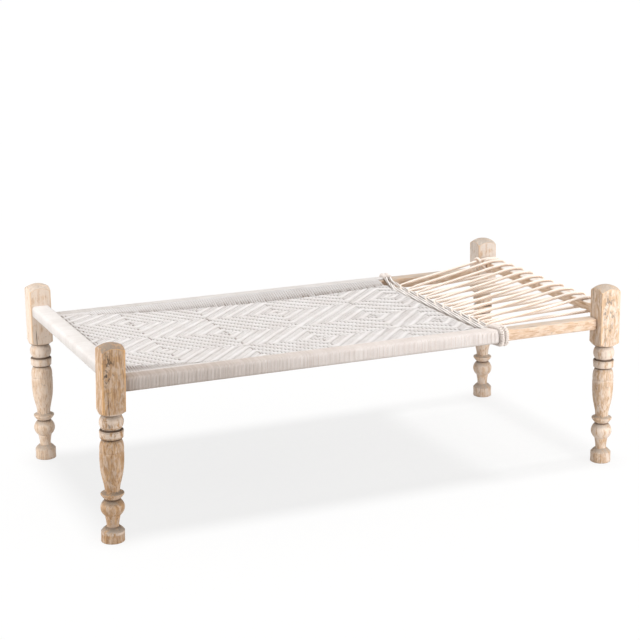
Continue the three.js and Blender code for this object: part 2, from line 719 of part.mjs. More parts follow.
function wovenPanel() {
  const outward = [
    ...panelFieldShares.map((share) => fieldSide * share),
    ...panelBorderShares.map((share) => fieldSide + borderWidth * share),
  ];
  const rows = [...outward.slice(1).reverse().map((y) => -y), ...outward];
  const columns = panelLengthShares;
  const positions = [];
  for (const layer of [0, 1]) {
    for (const y of rows) for (const share of columns) positions.push(...panelPoint(share, y, layer));
  }
  const index = [];
  const lower = rows.length * columns.length;
  const quad = (a, b, c, d) => index.push(a, b, c, a, c, d);
  for (let j = 0; j < rows.length - 1; j += 1) {
    for (let i = 0; i < columns.length - 1; i += 1) {
      const a = j * columns.length + i;
      const b = a + columns.length;
      quad(a, a + 1, b + 1, b);
      quad(lower + a, lower + b, lower + b + 1, lower + a + 1);
    }
  }
  const rim = [];
  for (let i = 0; i < columns.length; i += 1) rim.push(i);
  for (let j = 1; j < rows.length; j += 1) rim.push(j * columns.length + columns.length - 1);
  for (let i = columns.length - 2; i >= 0; i -= 1) rim.push((rows.length - 1) * columns.length + i);
  for (let j = rows.length - 2; j > 0; j -= 1) rim.push(j * columns.length);
  rim.forEach((a, i) => {
    const b = rim[(i + 1) % rim.length];
    quad(a, lower + a, lower + b, b);
  });
  const geometry = new THREE.BufferGeometry();
  geometry.setAttribute("position", new THREE.Float32BufferAttribute(positions, 3));
  geometry.setIndex(index);
  geometry.computeVertexNormals();
  return geometry;
}

// Assembly
const woodColour = 0xc9ab84;
const cordColour = 0xe6e0db;
const laceColour = 0xfbf0e6;
const woodRoughness = 0.75;
const cordRoughness = 0.95;
const leans = { head_front: frontHeadLeanLength, foot_back: backFootLeanLength };

for (const [end, endSign] of [["head", -1], ["foot", 1]]) {
  for (const [side, sideSign] of [["front", -1], ["back", 1]]) {
    const place = `${end}_${side}`;
    const leg = makeLeg(endSign, sideSign, handShares[place], leans[place] ?? 0);
    addPiece(`leg_${place}`, leg, woodColour, woodRoughness);
  }
}
for (const [side, sideSign] of [["front", -1], ["back", 1]]) {
  const rail = sideRail().translate(0, sideSign * sideRailY, sideRailZ);
  addPiece(`side_rail_${side}`, rail, woodColour, woodRoughness);
  const wrapStart = -sideRailLength * half;
  const wrapEnd = passX(0, sideSign * railInner) - turnRadius - turnGap * half;
  const slant = sideSign < 0 ? -frontSlantLength : backSlantLength;
  const wrap = sleeve(sideRailWidth, sideRailHeight, wrapEnd - wrapStart, slant).applyMatrix4(alongX);
  wrap.translate(wrapStart, sideSign * sideRailY, sideRailZ);
  addPiece(`weft_wrap_${side}`, wrap, cordColour, cordRoughness);
}
addPiece("head_rail", headRail().translate(-legX, 0, endRailZ), woodColour, woodRoughness);
addPiece("foot_rail", footRail().translate(legX, 0, endRailZ), woodColour, woodRoughness);
const headSleeve = sleeve(endRailWidth, endRailHeight, endRailLength, 0).applyMatrix4(alongY);
headSleeve.translate(-legX, -endRailLength * half, endRailZ);
addPiece("warp_wrap_head", headSleeve, cordColour, cordRoughness);
addPiece("woven_panel", wovenPanel(), cordColour, cordRoughness);

const rope = footRopePath();
const ropePoints = rope.map(({ point }) => point);
const ropeRadii = rope.map(({ radius }) => radius);
addPiece("foot_rope", ropeTube(ropePoints, ropeRadii, ropeSides), cordColour, cordRoughness);
const cordPoints = tensionCordPath();
const cordRadii = cordPoints.map(() => cordRadius);
addPiece("tension_cord", ropeTube(cordPoints, cordRadii, cordSides), laceColour, cordRoughness);
reportSelfGap("foot_rope", ropePoints, ropeRadii);
reportSelfGap("tension_cord", cordPoints, cordRadii);

export default bed;
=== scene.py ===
"""Charpai: a rope bed on four turned legs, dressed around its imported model.

Lengths are in millimetres and are turned to metres where a mesh is made. +X runs to the laced foot end,
+Y to the back and +Z up, with the origin on the floor under the middle of the bed.
"""

import logging
import math
import random
from dataclasses import dataclass, field
from enum import Enum
from typing import Callable, Iterable, Optional, Sequence

import bmesh
import bpy
import numpy as np
from mathutils import Matrix, Vector


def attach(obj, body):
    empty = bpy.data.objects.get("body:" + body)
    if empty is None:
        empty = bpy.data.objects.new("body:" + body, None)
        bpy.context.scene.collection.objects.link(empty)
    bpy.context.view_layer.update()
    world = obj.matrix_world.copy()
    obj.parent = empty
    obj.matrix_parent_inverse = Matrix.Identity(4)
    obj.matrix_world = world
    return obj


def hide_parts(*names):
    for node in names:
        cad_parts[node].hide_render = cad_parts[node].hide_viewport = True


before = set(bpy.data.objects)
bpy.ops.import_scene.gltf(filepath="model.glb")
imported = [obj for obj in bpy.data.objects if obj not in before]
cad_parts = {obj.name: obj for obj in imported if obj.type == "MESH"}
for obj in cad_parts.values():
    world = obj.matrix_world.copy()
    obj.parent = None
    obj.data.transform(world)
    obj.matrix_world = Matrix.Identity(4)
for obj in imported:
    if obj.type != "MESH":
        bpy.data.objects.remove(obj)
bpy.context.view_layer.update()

MM = 0.001
LOG = logging.getLogger("charpai")
MAP_INPUTS = ("Value", "From Min", "From Max", "To Min", "To Max")

Colour = tuple[float, float, float, float]
Pair = tuple[float, float]
Point = tuple[float, float, float]
Span = tuple[float, float]
Stop = tuple[int, float]
Path = np.ndarray
Socket = bpy.types.NodeSocket
Tree = bpy.types.NodeTree
Material = bpy.types.Material
Piece = bpy.types.Object


class Axis(Enum):
    """Direction in which a piece of wood's grain runs."""

    X = 0
    Y = 1
    Z = 2


class Side(Enum):
    """Long side of the bed."""

    FRONT = -1
    BACK = 1


class End(Enum):
    """Short end of the bed."""

    HEAD = -1
    FOOT = 1


# Nodes and meshes


def linear(code: str) -> Colour:
    """Turn an sRGB hex colour to linear light.

    Args:
        code: six hex digits.

    Returns:
        Red, green, blue and an alpha of 1.
    """
    parts = [int(code[i : i + 2], 16) / 255 for i in (0, 2, 4)]
    light = [c / 12.92 if c <= 0.04045 else ((c + 0.055) / 1.055) ** 2.4 for c in parts]
    return (light[0], light[1], light[2], 1.0)


def add_node(tree: Tree, kind: str, inputs: Optional[dict] = None, **settings) -> bpy.types.Node:
    """Add a shader node.

    Args:
        tree: node tree that gets the node.
        kind: Blender's name of the node type, without its ShaderNode prefix.
        inputs: value or linked socket for each input, by name or number.
        settings: properties of the node.

    Returns:
        The new node.
    """
    node = tree.nodes.new("ShaderNode" + kind)
    for key, value in settings.items():
        setattr(node, key, value)
    for key, value in (inputs or {}).items():
        if isinstance(value, Socket):
            tree.links.new(value, node.inputs[key])
        else:
            node.inputs[key].default_value = value
    return node


def new_material(name: str) -> tuple[Material, Tree, bpy.types.Node]:
    """Make a node material.

    Args:
        name: what the real material is and how its surface was made.

    Returns:
        The material, its node tree and its shader.
    """
    made = bpy.data.materials.new(name)
    made.use_nodes = True
    return made, made.node_tree, made.node_tree.nodes["Principled BSDF"]


def smoothstep(t: float) -> float:
    """Return 0 below 0, 1 above 1 and a smooth rise between."""
    t = min(max(t, 0.0), 1.0)
    return t * t * (3 - 2 * t)


def new_object(name: str, data: bpy.types.ID) -> Piece:
    """Put a mesh, curve, lamp or camera into the scene as an object at the origin."""
    piece = bpy.data.objects.new(name, data)
    bpy.context.scene.collection.objects.link(piece)
    return piece


def dress(piece: Piece, material: Material, nodes: Sequence[str] = ()) -> None:
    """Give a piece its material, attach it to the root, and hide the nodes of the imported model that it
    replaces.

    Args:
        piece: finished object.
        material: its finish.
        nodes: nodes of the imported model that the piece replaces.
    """
    piece.data.materials.clear()
    piece.data.materials.append(material)
    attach(piece, "root")
    if nodes:
        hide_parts(*nodes)
    LOG.info("%s: %d faces", piece.name, len(piece.data.polygons))


def object_from_bmesh(name: str, bm: bmesh.types.BMesh, smooth_angle: float = 35.0) -> Piece:
    """Turn a bmesh in millimetres into an object in metres, and free the bmesh.

    Args:
        name: name of the piece.
        bm: finished bmesh.
        smooth_angle: edges sharper than this, in degrees, stay sharp.

    Returns:
        The new object.
    """
    bmesh.ops.scale(bm, vec=(MM, MM, MM), verts=bm.verts)
    for face in bm.faces:
        face.smooth = True
    limit = math.radians(smooth_angle)
    for edge in bm.edges:
        edge.smooth = len(edge.link_faces) == 2 and edge.calc_face_angle(0.0) < limit
    mesh = bpy.data.meshes.new(name)
    bm.to_mesh(mesh)
    bm.free()
    return new_object(name, mesh)


def turned_solid(name: str, outline: Sequence[Pair], steps: int) -> Piece:
    """Turn a closed solid about the upright axis.

    Args:
        name: name of the object.
        outline: radius and height of each point, from the axis below to the axis above.
        steps: number of flats round it.

    Returns:
        The new object.
    """
    bm = bmesh.new()
    line = [bm.verts.new((radius, 0.0, height)) for radius, height in outline]
    edges = [bm.edges.new(pair) for pair in zip(line, line[1:])]
    bmesh.ops.spin(
        bm, geom=line + edges, cent=(0, 0, 0), axis=(0, 0, 1), angle=2 * math.pi, steps=steps, use_merge=True
    )
    bmesh.ops.remove_doubles(bm, verts=bm.verts, dist=0.02)
    bmesh.ops.recalc_face_normals(bm, faces=bm.faces)
    return object_from_bmesh(name, bm)


def bevel(bm: bmesh.types.BMesh, edges: Sequence[bmesh.types.BMEdge], offset: float, segments: int) -> None:
    """Round some edges of a bmesh."""
    shape = {"offset": offset, "offset_type": "OFFSET", "segments": segments}
    bmesh.ops.bevel(bm, geom=list(edges), profile=0.5, affect="EDGES", material=-1, **shape)


def bake_modifiers(piece: Piece) -> None:
    """Replace a piece's mesh by what its modifiers make of it.

    Args:
        piece: the piece, whose modifiers are removed.
    """
    graph = bpy.context.evaluated_depsgraph_get()
    made = bpy.data.meshes.new_from_object(piece.evaluated_get(graph))
    made.name = piece.name
    piece.modifiers.clear()
    piece.data = made


# Cords, as paths and as swept meshes


@dataclass
class Cord:
    """One cord before it is swept: its middle line and its painted shade and dirt along it, 0 to 1.

    A cord with a heart line also gets painted shade on the side that faces it, as in the grooves of a rope or
    under a cord. Where it is pulled tight, its girth is less than 1.
    """

    points: Path
    shade_and_dust: float | np.ndarray = 0.0
    heart: Optional[Path] = None
    girth: float | np.ndarray = 1.0


def runs_along(path: Path) -> np.ndarray:
    """Return how far along a path each of its points lies."""
    return np.concatenate([[0], np.cumsum(np.linalg.norm(np.diff(path, axis=0), axis=1))])


def shade_and_dust_levels(cords: Sequence[Cord], corners: np.ndarray) -> np.ndarray:
    """Find the painted shade and dirt of each corner of the swept cords.

    Args:
        cords: the cords, in the order in which they were swept.
        corners: corners by ring and by place in the ring, in millimetres.

    Returns:
        One level per corner, 0 to 1.
    """
    groove_start, groove_depth = -0.35, 0.8
    middles = np.concatenate([cord.points for cord in cords])
    hearts = np.concatenate([cord.points if cord.heart is None else cord.heart for cord in cords])
    outward = corners - middles[:, None, :]
    outward /= np.linalg.norm(outward, axis=2, keepdims=True)
    inward = hearts - middles
    distance = np.linalg.norm(inward, axis=1)[:, None]
    facing = (outward * (inward / np.maximum(distance, 1e-6))[:, None, :]).sum(axis=2)
    # Painted shade on the side of a cord that faces its heart line, as in a rope's grooves or under a cord
    groove = np.where(distance > 1e-3, np.clip((facing - groove_start) / groove_depth, 0, 1), 0.0)
    along = np.concatenate([np.broadcast_to(cord.shade_and_dust, len(cord.points)) for cord in cords])
    return np.clip(groove + along[:, None], 0, 1).ravel()


def cord_curve(name: str, cords: Sequence[Cord], radius: float, roundness: int) -> bpy.types.Mesh:
    """Sweep cords as splines of one curve and turn it to a mesh with open ends.

    Args:
        name: name of the mesh.
        cords: the cords, in millimetres.
        radius: radius of each cord, in millimetres.
        roundness: resolution of the curve's bevel.

    Returns:
        The mesh, in metres.
    """
    curve = bpy.data.curves.new(name, "CURVE")
    curve.dimensions = "3D"
    curve.twist_mode = "MINIMUM"
    curve.bevel_depth = radius * MM
    curve.bevel_resolution = roundness
    for cord in cords:
        spline = curve.splines.new("POLY")
        count = len(cord.points)
        spline.points.add(count - 1)
        places = np.ones((count, 4))
        places[:, :3] = cord.points * MM
        spline.points.foreach_set("co", places.ravel())
        spline.points.foreach_set("radius", np.broadcast_to(cord.girth, count).astype(float))
        spline.use_smooth = True
    holder = new_object(name + "_curve", curve)
    graph = bpy.context.evaluated_depsgraph_get()
    mesh = bpy.data.meshes.new_from_object(holder.evaluated_get(graph))
    mesh.name = name
    bpy.data.objects.remove(holder)
    return mesh


def cord_object(name: str, cords: Sequence[Cord], radius: float, roundness: int = 1) -> Piece:
    """Sweep round cords along their middle lines and close their ends.

    The piece's UV map holds the length along the cord in metres and the place round it, 0 to 1. Its attribute
    of painted shade and dirt holds how dark the cord is painted.

    Args:
        name: name of the piece.
        cords: the cords, in millimetres.
        radius: radius of each cord, in millimetres.
        roundness: 0 gives 4 sides, 1 gives 6 and 2 gives 8.

    Returns:
        The new object.
    """
    mesh = cord_curve(name, cords, radius, roundness)
    sides = 4 + 2 * roundness
    lengths = []
    for cord in cords:
        runs = runs_along(cord.points * MM)
        band = np.stack([runs[:-1], runs[1:], runs[1:], runs[:-1]], axis=1)
        lengths.append(np.repeat(band, sides, axis=0).ravel())
    layer = mesh.uv_layers[0].data
    map_places = np.empty(len(layer) * 2)
    layer.foreach_get("uv", map_places)
    map_places[0::2] = np.concatenate(lengths)
    layer.foreach_set("uv", map_places)
    corners = np.empty(len(mesh.vertices) * 3)
    mesh.vertices.foreach_get("co", corners)
    levels = shade_and_dust_levels(cords, corners.reshape(-1, sides, 3) / MM)
    mesh.attributes.new("shade_and_dust", "FLOAT", "POINT").data.foreach_set("value", levels)
    bm = bmesh.new()
    bm.from_mesh(mesh)
    rims = [edge for edge in bm.edges if edge.is_boundary]
    bmesh.ops.holes_fill(bm, edges=rims, sides=0)
    bmesh.ops.recalc_face_normals(bm, faces=bm.faces)
    bm.to_mesh(mesh)
    bm.free()
    return new_object(name, mesh)


def smooth_path(points: Sequence[Sequence[float]], step: float) -> Path:
    """Draw a smooth curve through points, sampled evenly.

    Args:
        points: points that the curve passes through.
        step: distance between two samples.

    Returns:
        Array of points.
    """
    p = np.asarray(points, dtype=float)
    padded = np.vstack([2 * p[0] - p[1], p, 2 * p[-1] - p[-2]])
    fine: list[np.ndarray] = []
    for a, b, c, d in zip(padded, padded[1:], padded[2:], padded[3:]):
        before, span, after = (np.linalg.norm(gap) for gap in (b - a, c - b, d - c))
        lead = (c - a) / max(span + before, 1e-9) * span
        tail = (d - b) / max(after + span, 1e-9) * span
        count = max(2, int(math.ceil(span / step * 2)))
        for t in np.linspace(0, 1, count, endpoint=False):
            to_end = t * t * (3 - 2 * t)
            fine.append((1 - to_end) * b + t * (1 - t) ** 2 * lead + to_end * c - t * t * (1 - t) * tail)
    fine.append(p[-1])
    dense = np.array(fine)
    runs = runs_along(dense)
    places = np.linspace(0, runs[-1], max(2, int(runs[-1] / step)))
    return np.stack([np.interp(places, runs, dense[:, k]) for k in range(3)], axis=1)


def cross_frames(path: Path) -> tuple[np.ndarray, np.ndarray]:
    """Carry a pair of directions across a path along it without twist.

    Args:
        path: points of the path.

    Returns:
        Two arrays of unit vectors, square to the path and to each other.
    """
    tangents = np.gradient(path, axis=0)
    tangents /= np.linalg.norm(tangents, axis=1)[:, None]
    start = np.cross(tangents[0], (0.0, 0.0, 1.0))
    if np.linalg.norm(start) < 0.1:
        start = np.cross(tangents[0], (1.0, 0.0, 0.0))
    first = [start / np.linalg.norm(start)]
    for tangent in tangents[1:]:
        carried = first[-1] - tangent * np.dot(first[-1], tangent)
        first.append(carried / np.linalg.norm(carried))
    across = np.array(first)
    return across, np.cross(tangents, across)


def strands(
    path: Path, count: int, reach: float, lay: float, girth: float | np.ndarray = 1.0
) -> list[Cord]:
    """Lay cords round a path as the strands of a rope.

    Args:
        path: evenly sampled middle line.
        count: number of strands.
        reach: distance of each strand's middle from the path.
        lay: length of path in which a strand goes once round.
        girth: 1, or less where the rope is pulled tight, for each point of the path.

    Returns:
        The strands, with painted shade in the grooves between them.
    """
    across, beside = cross_frames(path)
    runs = runs_along(path)
    aside = np.broadcast_to(reach * np.asarray(girth), len(path))[:, None]
    made = []
    for k in range(count):
        turn = 2 * math.pi * (runs / lay + k / count)
        around = np.cos(turn)[:, None] * across + np.sin(turn)[:, None] * beside
        made.append(Cord(path + aside * around, heart=path, girth=girth))
    return made


# Sizes of the bed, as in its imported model


@dataclass(frozen=True)
class BedSizes:
    """Driving sizes of the frame and of the weave."""

    leg_x: float = 914.0
    leg_y: float = 450.0
    block_half: float = 38.5
    side_rail_bottom: float = 500.0
    side_rail_height: float = 41.0
    side_rail_width: float = 50.0
    side_rail_inset: float = 13.0
    end_rail_bottom: float = 547.0
    end_rail_height: float = 34.0
    end_rail_width: float = 55.0
    rail_round: float = 7.0
    wrap_thickness: float = 4.5
    fit_gap: float = 0.3

    @property
    def side_rail_y(self) -> float:
        """Distance of a side rail's axis from the middle of the bed."""
        return self.leg_y - self.side_rail_inset

    @property
    def side_rail_z(self) -> float:
        """Height of a side rail's axis."""
        return self.side_rail_bottom + self.side_rail_height / 2

    @property
    def side_rail_top(self) -> float:
        """Height of a side rail's top."""
        return self.side_rail_bottom + self.side_rail_height

    @property
    def end_rail_z(self) -> float:
        """Height of an end rail's axis."""
        return self.end_rail_bottom + self.end_rail_height / 2

    @property
    def end_rail_top(self) -> float:
        """Height of an end rail's top."""
        return self.end_rail_bottom + self.end_rail_height

    @property
    def rail_inner(self) -> float:
        """Distance of a side rail's inner face from the middle of the bed."""
        return self.side_rail_y - self.side_rail_width / 2


BED = BedSizes()

# Corner and angle of each stop by which a cord passes over, down and under a rail
OVER_STOPS: tuple[Stop, ...] = (
    (0, 90), (1, 90), (1, 60), (1, 30), (1, 0), (2, 0), (2, -30), (2, -60), (2, -90), (3, -90),
)


def round_section(width: float, height: float, offset: float, stops: Iterable[Stop]) -> list[Pair]:
    """Place points round a rail's rounded section, at an offset from it.

    Args:
        width: width of the section.
        height: height of the section.
        offset: distance from the rail's surface.
        stops: corner of the section, 0 to 3 from the inner top over the outer side, and an angle in degrees.

    Returns:
        Pairs of an outward place and a height, both from the rail's axis.
    """
    reach = BED.rail_round + offset
    places = []
    for corner, degrees in stops:
        u = (-1, 1, 1, -1)[corner]
        v = (1, 1, -1, -1)[corner]
        angle = math.radians(degrees)
        across = u * (width / 2 - BED.rail_round) + reach * math.cos(angle)
        up = v * (height / 2 - BED.rail_round) + reach * math.sin(angle)
        places.append((across, up))
    return places


def round_side_rail(side: Side, offset: float, stops: Iterable[Stop]) -> list[Pair]:
    """Place points round a side rail's section, as pairs of a place across the bed and a height."""
    section = round_section(BED.side_rail_width, BED.side_rail_height, offset, stops)
    return [(side.value * (BED.side_rail_y + u), BED.side_rail_z + v) for u, v in section]


def round_end_rail(offset: float, stops: Iterable[Stop]) -> list[Pair]:
    """Place points round the foot rail's section, as pairs of a place along the bed and a height."""
    section = round_section(BED.end_rail_width, BED.end_rail_height, offset, stops)
    return [(BED.leg_x + u, BED.end_rail_z + v) for u, v in section]


# Finishes


@dataclass(frozen=True)
class Noise:
    """Noise in a finish: its stretch along the grain, the size of its features, and how it breaks up."""

    stretch: float
    size: float
    detail: float
    rough: float
    twist: float = 0.0


@dataclass(frozen=True)
class LimedWood:
    """Mango wood, turned or planed by hand, brushed with lime and rubbed back.

    The eye sees pale tan with long fine grain, a chalky wash in patches, warm bare edges, dirt and painted
    shade in the turned grooves, and dark knots, stains and drying cracks.

    The colours go from the wood's ground, light and dark grain to the lime wash, stains, rubbed edges, cracks
    and the dirt and painted shade of the grooves, a colour on faces that point up, and marks of use. Limed
    spans of height carry more wash. The marks lie round a point, out to a reach. The arris is the sum of two
    distances from the centre on a block's rubbed edge.
    Levels are those of a noise at which something starts and fully shows, and a share is how much it covers.
    """

    name: str
    grain: Axis
    centre: Point = (0.0, 0.0, 0.0)
    ground: str = "D2B395"
    light: str = "E6CFB7"
    dark: str = "B08E6E"
    wash: str = "EADCD0"
    stain: str = "84796F"
    edge: str = "DDBB96"
    crack_and_groove_shade: str = "5A4636"
    top: str = "A2968A"
    mark: str = "3F3A36"
    wash_share: float = 0.6
    wash_start: float = 0.42
    top_share: float = 0.0
    limed: tuple[Span, ...] = ()
    limed_share: float = 0.7
    stain_start: float = 0.64
    marks: Optional[tuple[Point, float]] = None
    arris: float = 0.0
    dome_centre: float = 587.0
    dome_radius: float = 73.0
    grooves: tuple[float, ...] = ()
    groove_half: float = 1.2
    groove_share: float = 0.85
    figure_stops: tuple[float, float, float] = (0.32, 0.47, 0.66)
    band_levels: Span = (0.45, 0.72)
    band_share: float = 0.45
    wash_run: float = 0.2
    limed_levels: Span = (-0.06, 0.1)
    top_rise: Span = (0.3, 0.85)
    top_levels: Span = (0.3, 0.55)
    stain_run: float = 0.09
    stain_share: float = 0.75
    mark_scale: Point = (1.0, 1.0, 0.3)
    mark_core: float = 0.3
    mark_levels: Span = (0.5, 0.62)
    mark_share: float = 0.8
    crack_levels: Span = (0.73, 0.765)
    crack_share: float = 0.8
    edge_band: Span = (-3.2, -0.3)
    edge_share: float = 0.65
    rim_band: Span = (-3.0, -0.8)
    rim_rise: Span = (0.5, 0.3)
    rim_height: Span = (38.0, 42.0)
    rim_share: float = 0.6
    rough_levels: Span = (0.3, 0.7)
    roughness: Span = (0.58, 0.85)
    figure: Noise = Noise(0.06, 3.2, 5.0, 0.6)
    bands: Noise = Noise(0.3, 30.0, 3.0, 0.5, 0.6)
    chalk: Noise = Noise(0.35, 13.0, 6.0, 0.68, 0.3)
    spots: Noise = Noise(0.8, 15.0, 5.0, 0.6, 0.4)
    splits: Noise = Noise(0.04, 7.0, 2.0, 0.5, 0.15)
    flecks: Noise = Noise(0.6, 9.0, 3.0, 0.6, 0.5)
    crack_depth: float = 1.6
    relief: float = 0.8

    def noise(self, tree: Tree, place: Socket, kind: Noise) -> Socket:
        """Make noise that is centred on the piece and stretched along its grain.

        Args:
            tree: node tree of the material.
            place: object coordinates.
            kind: shape of the noise.

        Returns:
            The noise, 0 to 1.
        """
        scale = [1.0, 1.0, 1.0]
        scale[self.grain.value] = kind.stretch
        offset = [-c * MM for c in self.centre]
        moved = add_node(tree, "Mapping", {"Vector": place, "Location": offset, "Scale": scale})
        inputs = {"Vector": moved.outputs["Vector"], "Scale": 1 / (kind.size * MM), "Detail": kind.detail}
        inputs.update({"Roughness": kind.rough, "Distortion": kind.twist})
        return add_node(tree, "TexNoise", inputs).outputs["Fac"]

    def where(self, tree: Tree, top: float, *stretches: tuple[Socket, float, float]) -> Socket:
        """Find where some values have all come through their stretches.

        Args:
            tree: node tree of the material.
            top: result where all have.
            stretches: each value with where it starts to count and where it fully counts.

        Returns:
            0 where one hasn't started, rising smoothly to the top.
        """
        shares = []
        for value, start, full in stretches:
            limits = dict(zip(MAP_INPUTS, (value, start, full, 0.0, 1.0 if shares else top)))
            mapped = add_node(tree, "MapRange", limits, interpolation_type="SMOOTHSTEP")
            shares.append(mapped.outputs["Result"])
        whole = shares[0]
        for share in shares[1:]:
            whole = add_node(tree, "Math", {0: whole, 1: share}, operation="MULTIPLY").outputs[0]
        return whole

    def distance(self, tree: Tree, place: Socket, centre: Point, scale: Point = (1.0, 1.0, 1.0)) -> Socket:
        """Measure the distance from a point, scaled along each axis.

        Args:
            tree: node tree of the material.
            place: object coordinates.
            centre: the point, in millimetres.
            scale: how much each direction counts.

        Returns:
            The distance in metres.
        """
        middle = [c * MM for c in centre]
        away = add_node(tree, "VectorMath", {0: place, 1: middle}, operation="SUBTRACT").outputs["Vector"]
        scaled = add_node(tree, "VectorMath", {0: away, 1: scale}, operation="MULTIPLY").outputs["Vector"]
        return add_node(tree, "VectorMath", {0: scaled}, operation="LENGTH").outputs["Value"]

    def heights(self, tree: Tree, height: Socket, spans: Sequence[Span], top: float) -> Socket:
        """Find whether a point lies within one of some spans of height.

        Args:
            tree: node tree of the material.
            height: height of the point in metres.
            spans: lower and upper height of each span, from the lowest to the highest.
            top: result within a span.

        Returns:
            0 away from the spans, up to the top value in them.
        """
        soft, room = 3.5, 20.0
        whole = spans[-1][1] + room
        share = add_node(tree, "Math", {0: height, 1: 1 / (whole * MM)}, operation="MULTIPLY").outputs[0]
        ramp = add_node(tree, "ValToRGB", {"Fac": share})
        stops = ramp.color_ramp.elements
        stops[0].color = stops[1].color = (0, 0, 0, 1)
        for low, high in spans:
            for level, value in ((low - soft, 0.0), (low, top), (high, top), (high + soft, 0.0)):
                stops.new(level / whole).color = (value, value, value, 1)
        return ramp.outputs["Color"]

    def rubbed(self, tree: Tree, place: Socket, height: Socket, rise: Socket) -> list[Socket]:
        """Find where hands have rubbed a square block bare.

        Args:
            tree: node tree of the material.
            place: object coordinates.
            height: height of the point in metres.
            rise: how far the surface faces up.

        Returns:
            Shares of bare wood on the upright edges, and on the line under the domed top.
        """
        centre = [c * MM for c in self.centre]
        moved = add_node(tree, "VectorMath", {0: place, 1: centre}, operation="SUBTRACT").outputs["Vector"]
        lengths = add_node(tree, "VectorMath", {0: moved}, operation="ABSOLUTE").outputs["Vector"]
        parts = add_node(tree, "SeparateXYZ", {"Vector": lengths}).outputs
        total = add_node(tree, "Math", {0: parts["X"], 1: parts["Y"]}, operation="ADD").outputs[0]
        edge = [(self.arris + level) * MM for level in self.edge_band]
        rim = [(self.dome_radius + level) * MM for level in self.rim_band]
        high = [(self.dome_centre + level) * MM for level in self.rim_height]
        away = self.distance(tree, place, (self.centre[0], self.centre[1], self.dome_centre))
        return [
            self.where(tree, self.edge_share, (total, *edge)),
            self.where(tree, self.rim_share, (away, *rim), (rise, *self.rim_rise), (height, *high)),
        ]

    def washed(self, tree: Tree, chalk: Socket, height: Socket) -> Socket:
        """Find how much lime wash is left.

        Args:
            tree: node tree of the material.
            chalk: noise that breaks the wash up.
            height: height of the point in metres.

        Returns:
            The share of the wash.
        """
        left = self.where(tree, self.wash_share, (chalk, self.wash_start, self.wash_start + self.wash_run))
        if not self.limed:
            return left
        bands = self.heights(tree, height, self.limed, self.limed_share)
        mottled = self.where(tree, 1.0, (chalk, *(self.wash_start + level for level in self.limed_levels)))
        more = add_node(tree, "Math", {0: bands, 1: mottled}, operation="MULTIPLY").outputs[0]
        return add_node(tree, "Math", {0: left, 1: more}, operation="MAXIMUM").outputs[0]

    def material(self) -> Material:
        """Build the node material.

        Returns:
            The material.
        """
        made, tree, shader = new_material(self.name)
        place = add_node(tree, "TexCoord").outputs["Object"]
        height = add_node(tree, "SeparateXYZ", {"Vector": place}).outputs["Z"]
        normal = add_node(tree, "NewGeometry").outputs["Normal"]
        rise = add_node(tree, "SeparateXYZ", {"Vector": normal}).outputs["Z"]
        kinds = (self.figure, self.bands, self.chalk, self.spots, self.splits)
        fine, broad, chalk, spots, split = (self.noise(tree, place, kind) for kind in kinds)
        figure = add_node(tree, "ValToRGB", {"Fac": fine})
        ramp = figure.color_ramp.elements
        ramp.new(self.figure_stops[1])
        for stop, position, code in zip(ramp, self.figure_stops, (self.dark, self.ground, self.light)):
            stop.position = position
            stop.color = linear(code)
        cracked = self.where(tree, self.crack_share, (split, *self.crack_levels))
        coats = [
            (self.where(tree, self.band_share, (broad, *self.band_levels)), self.dark),
            (self.washed(tree, chalk, height), self.wash),
        ]
        # Faces that point up are mixed towards the top colour
        if self.top_share > 0:
            facing_up = self.where(tree, self.top_share, (rise, *self.top_rise), (chalk, *self.top_levels))
            coats.append((facing_up, self.top))
        if self.arris > 0:
            coats += [(bare, self.edge) for bare in self.rubbed(tree, place, height, rise)]
        stain_end = self.stain_start + self.stain_run
        coats.append((self.where(tree, self.stain_share, (spots, self.stain_start, stain_end)), self.stain))
        if self.marks:
            middle, reach = self.marks
            away = self.distance(tree, place, middle, self.mark_scale)
            near = (away, reach * MM, reach * self.mark_core * MM)
            patchy = (self.noise(tree, place, self.flecks), *self.mark_levels)
            coats.append((self.where(tree, self.mark_share, near, patchy), self.mark))
        coats.append((cracked, self.crack_and_groove_shade))
        # The turned grooves and the crease under the block take the crack colour, as dirt and painted shade
        if self.grooves:
            spans = [(z - self.groove_half, z + self.groove_half) for z in self.grooves]
            coats.append((self.heights(tree, height, spans, self.groove_share), self.crack_and_groove_shade))
        colour = figure.outputs["Color"]
        for share, code in coats:
            mixed = add_node(tree, "Mix", {0: share, 6: colour, 7: linear(code)}, data_type="RGBA")
            colour = mixed.outputs[2]
        tree.links.new(colour, shader.inputs["Base Color"])
        limits = dict(zip(MAP_INPUTS, (chalk, *self.rough_levels, *self.roughness)))
        tree.links.new(add_node(tree, "MapRange", limits).outputs["Result"], shader.inputs["Roughness"])
        furrowed = {0: cracked, 1: -self.crack_depth, 2: fine}
        relief = add_node(tree, "Math", furrowed, operation="MULTIPLY_ADD").outputs[0]
        bump = add_node(tree, "Bump", {"Height": relief, "Strength": 0.6, "Distance": self.relief * MM})
        tree.links.new(bump.outputs["Normal"], shader.inputs["Normal"])
        shader.inputs["Specular IOR Level"].default_value = 0.3
        return made


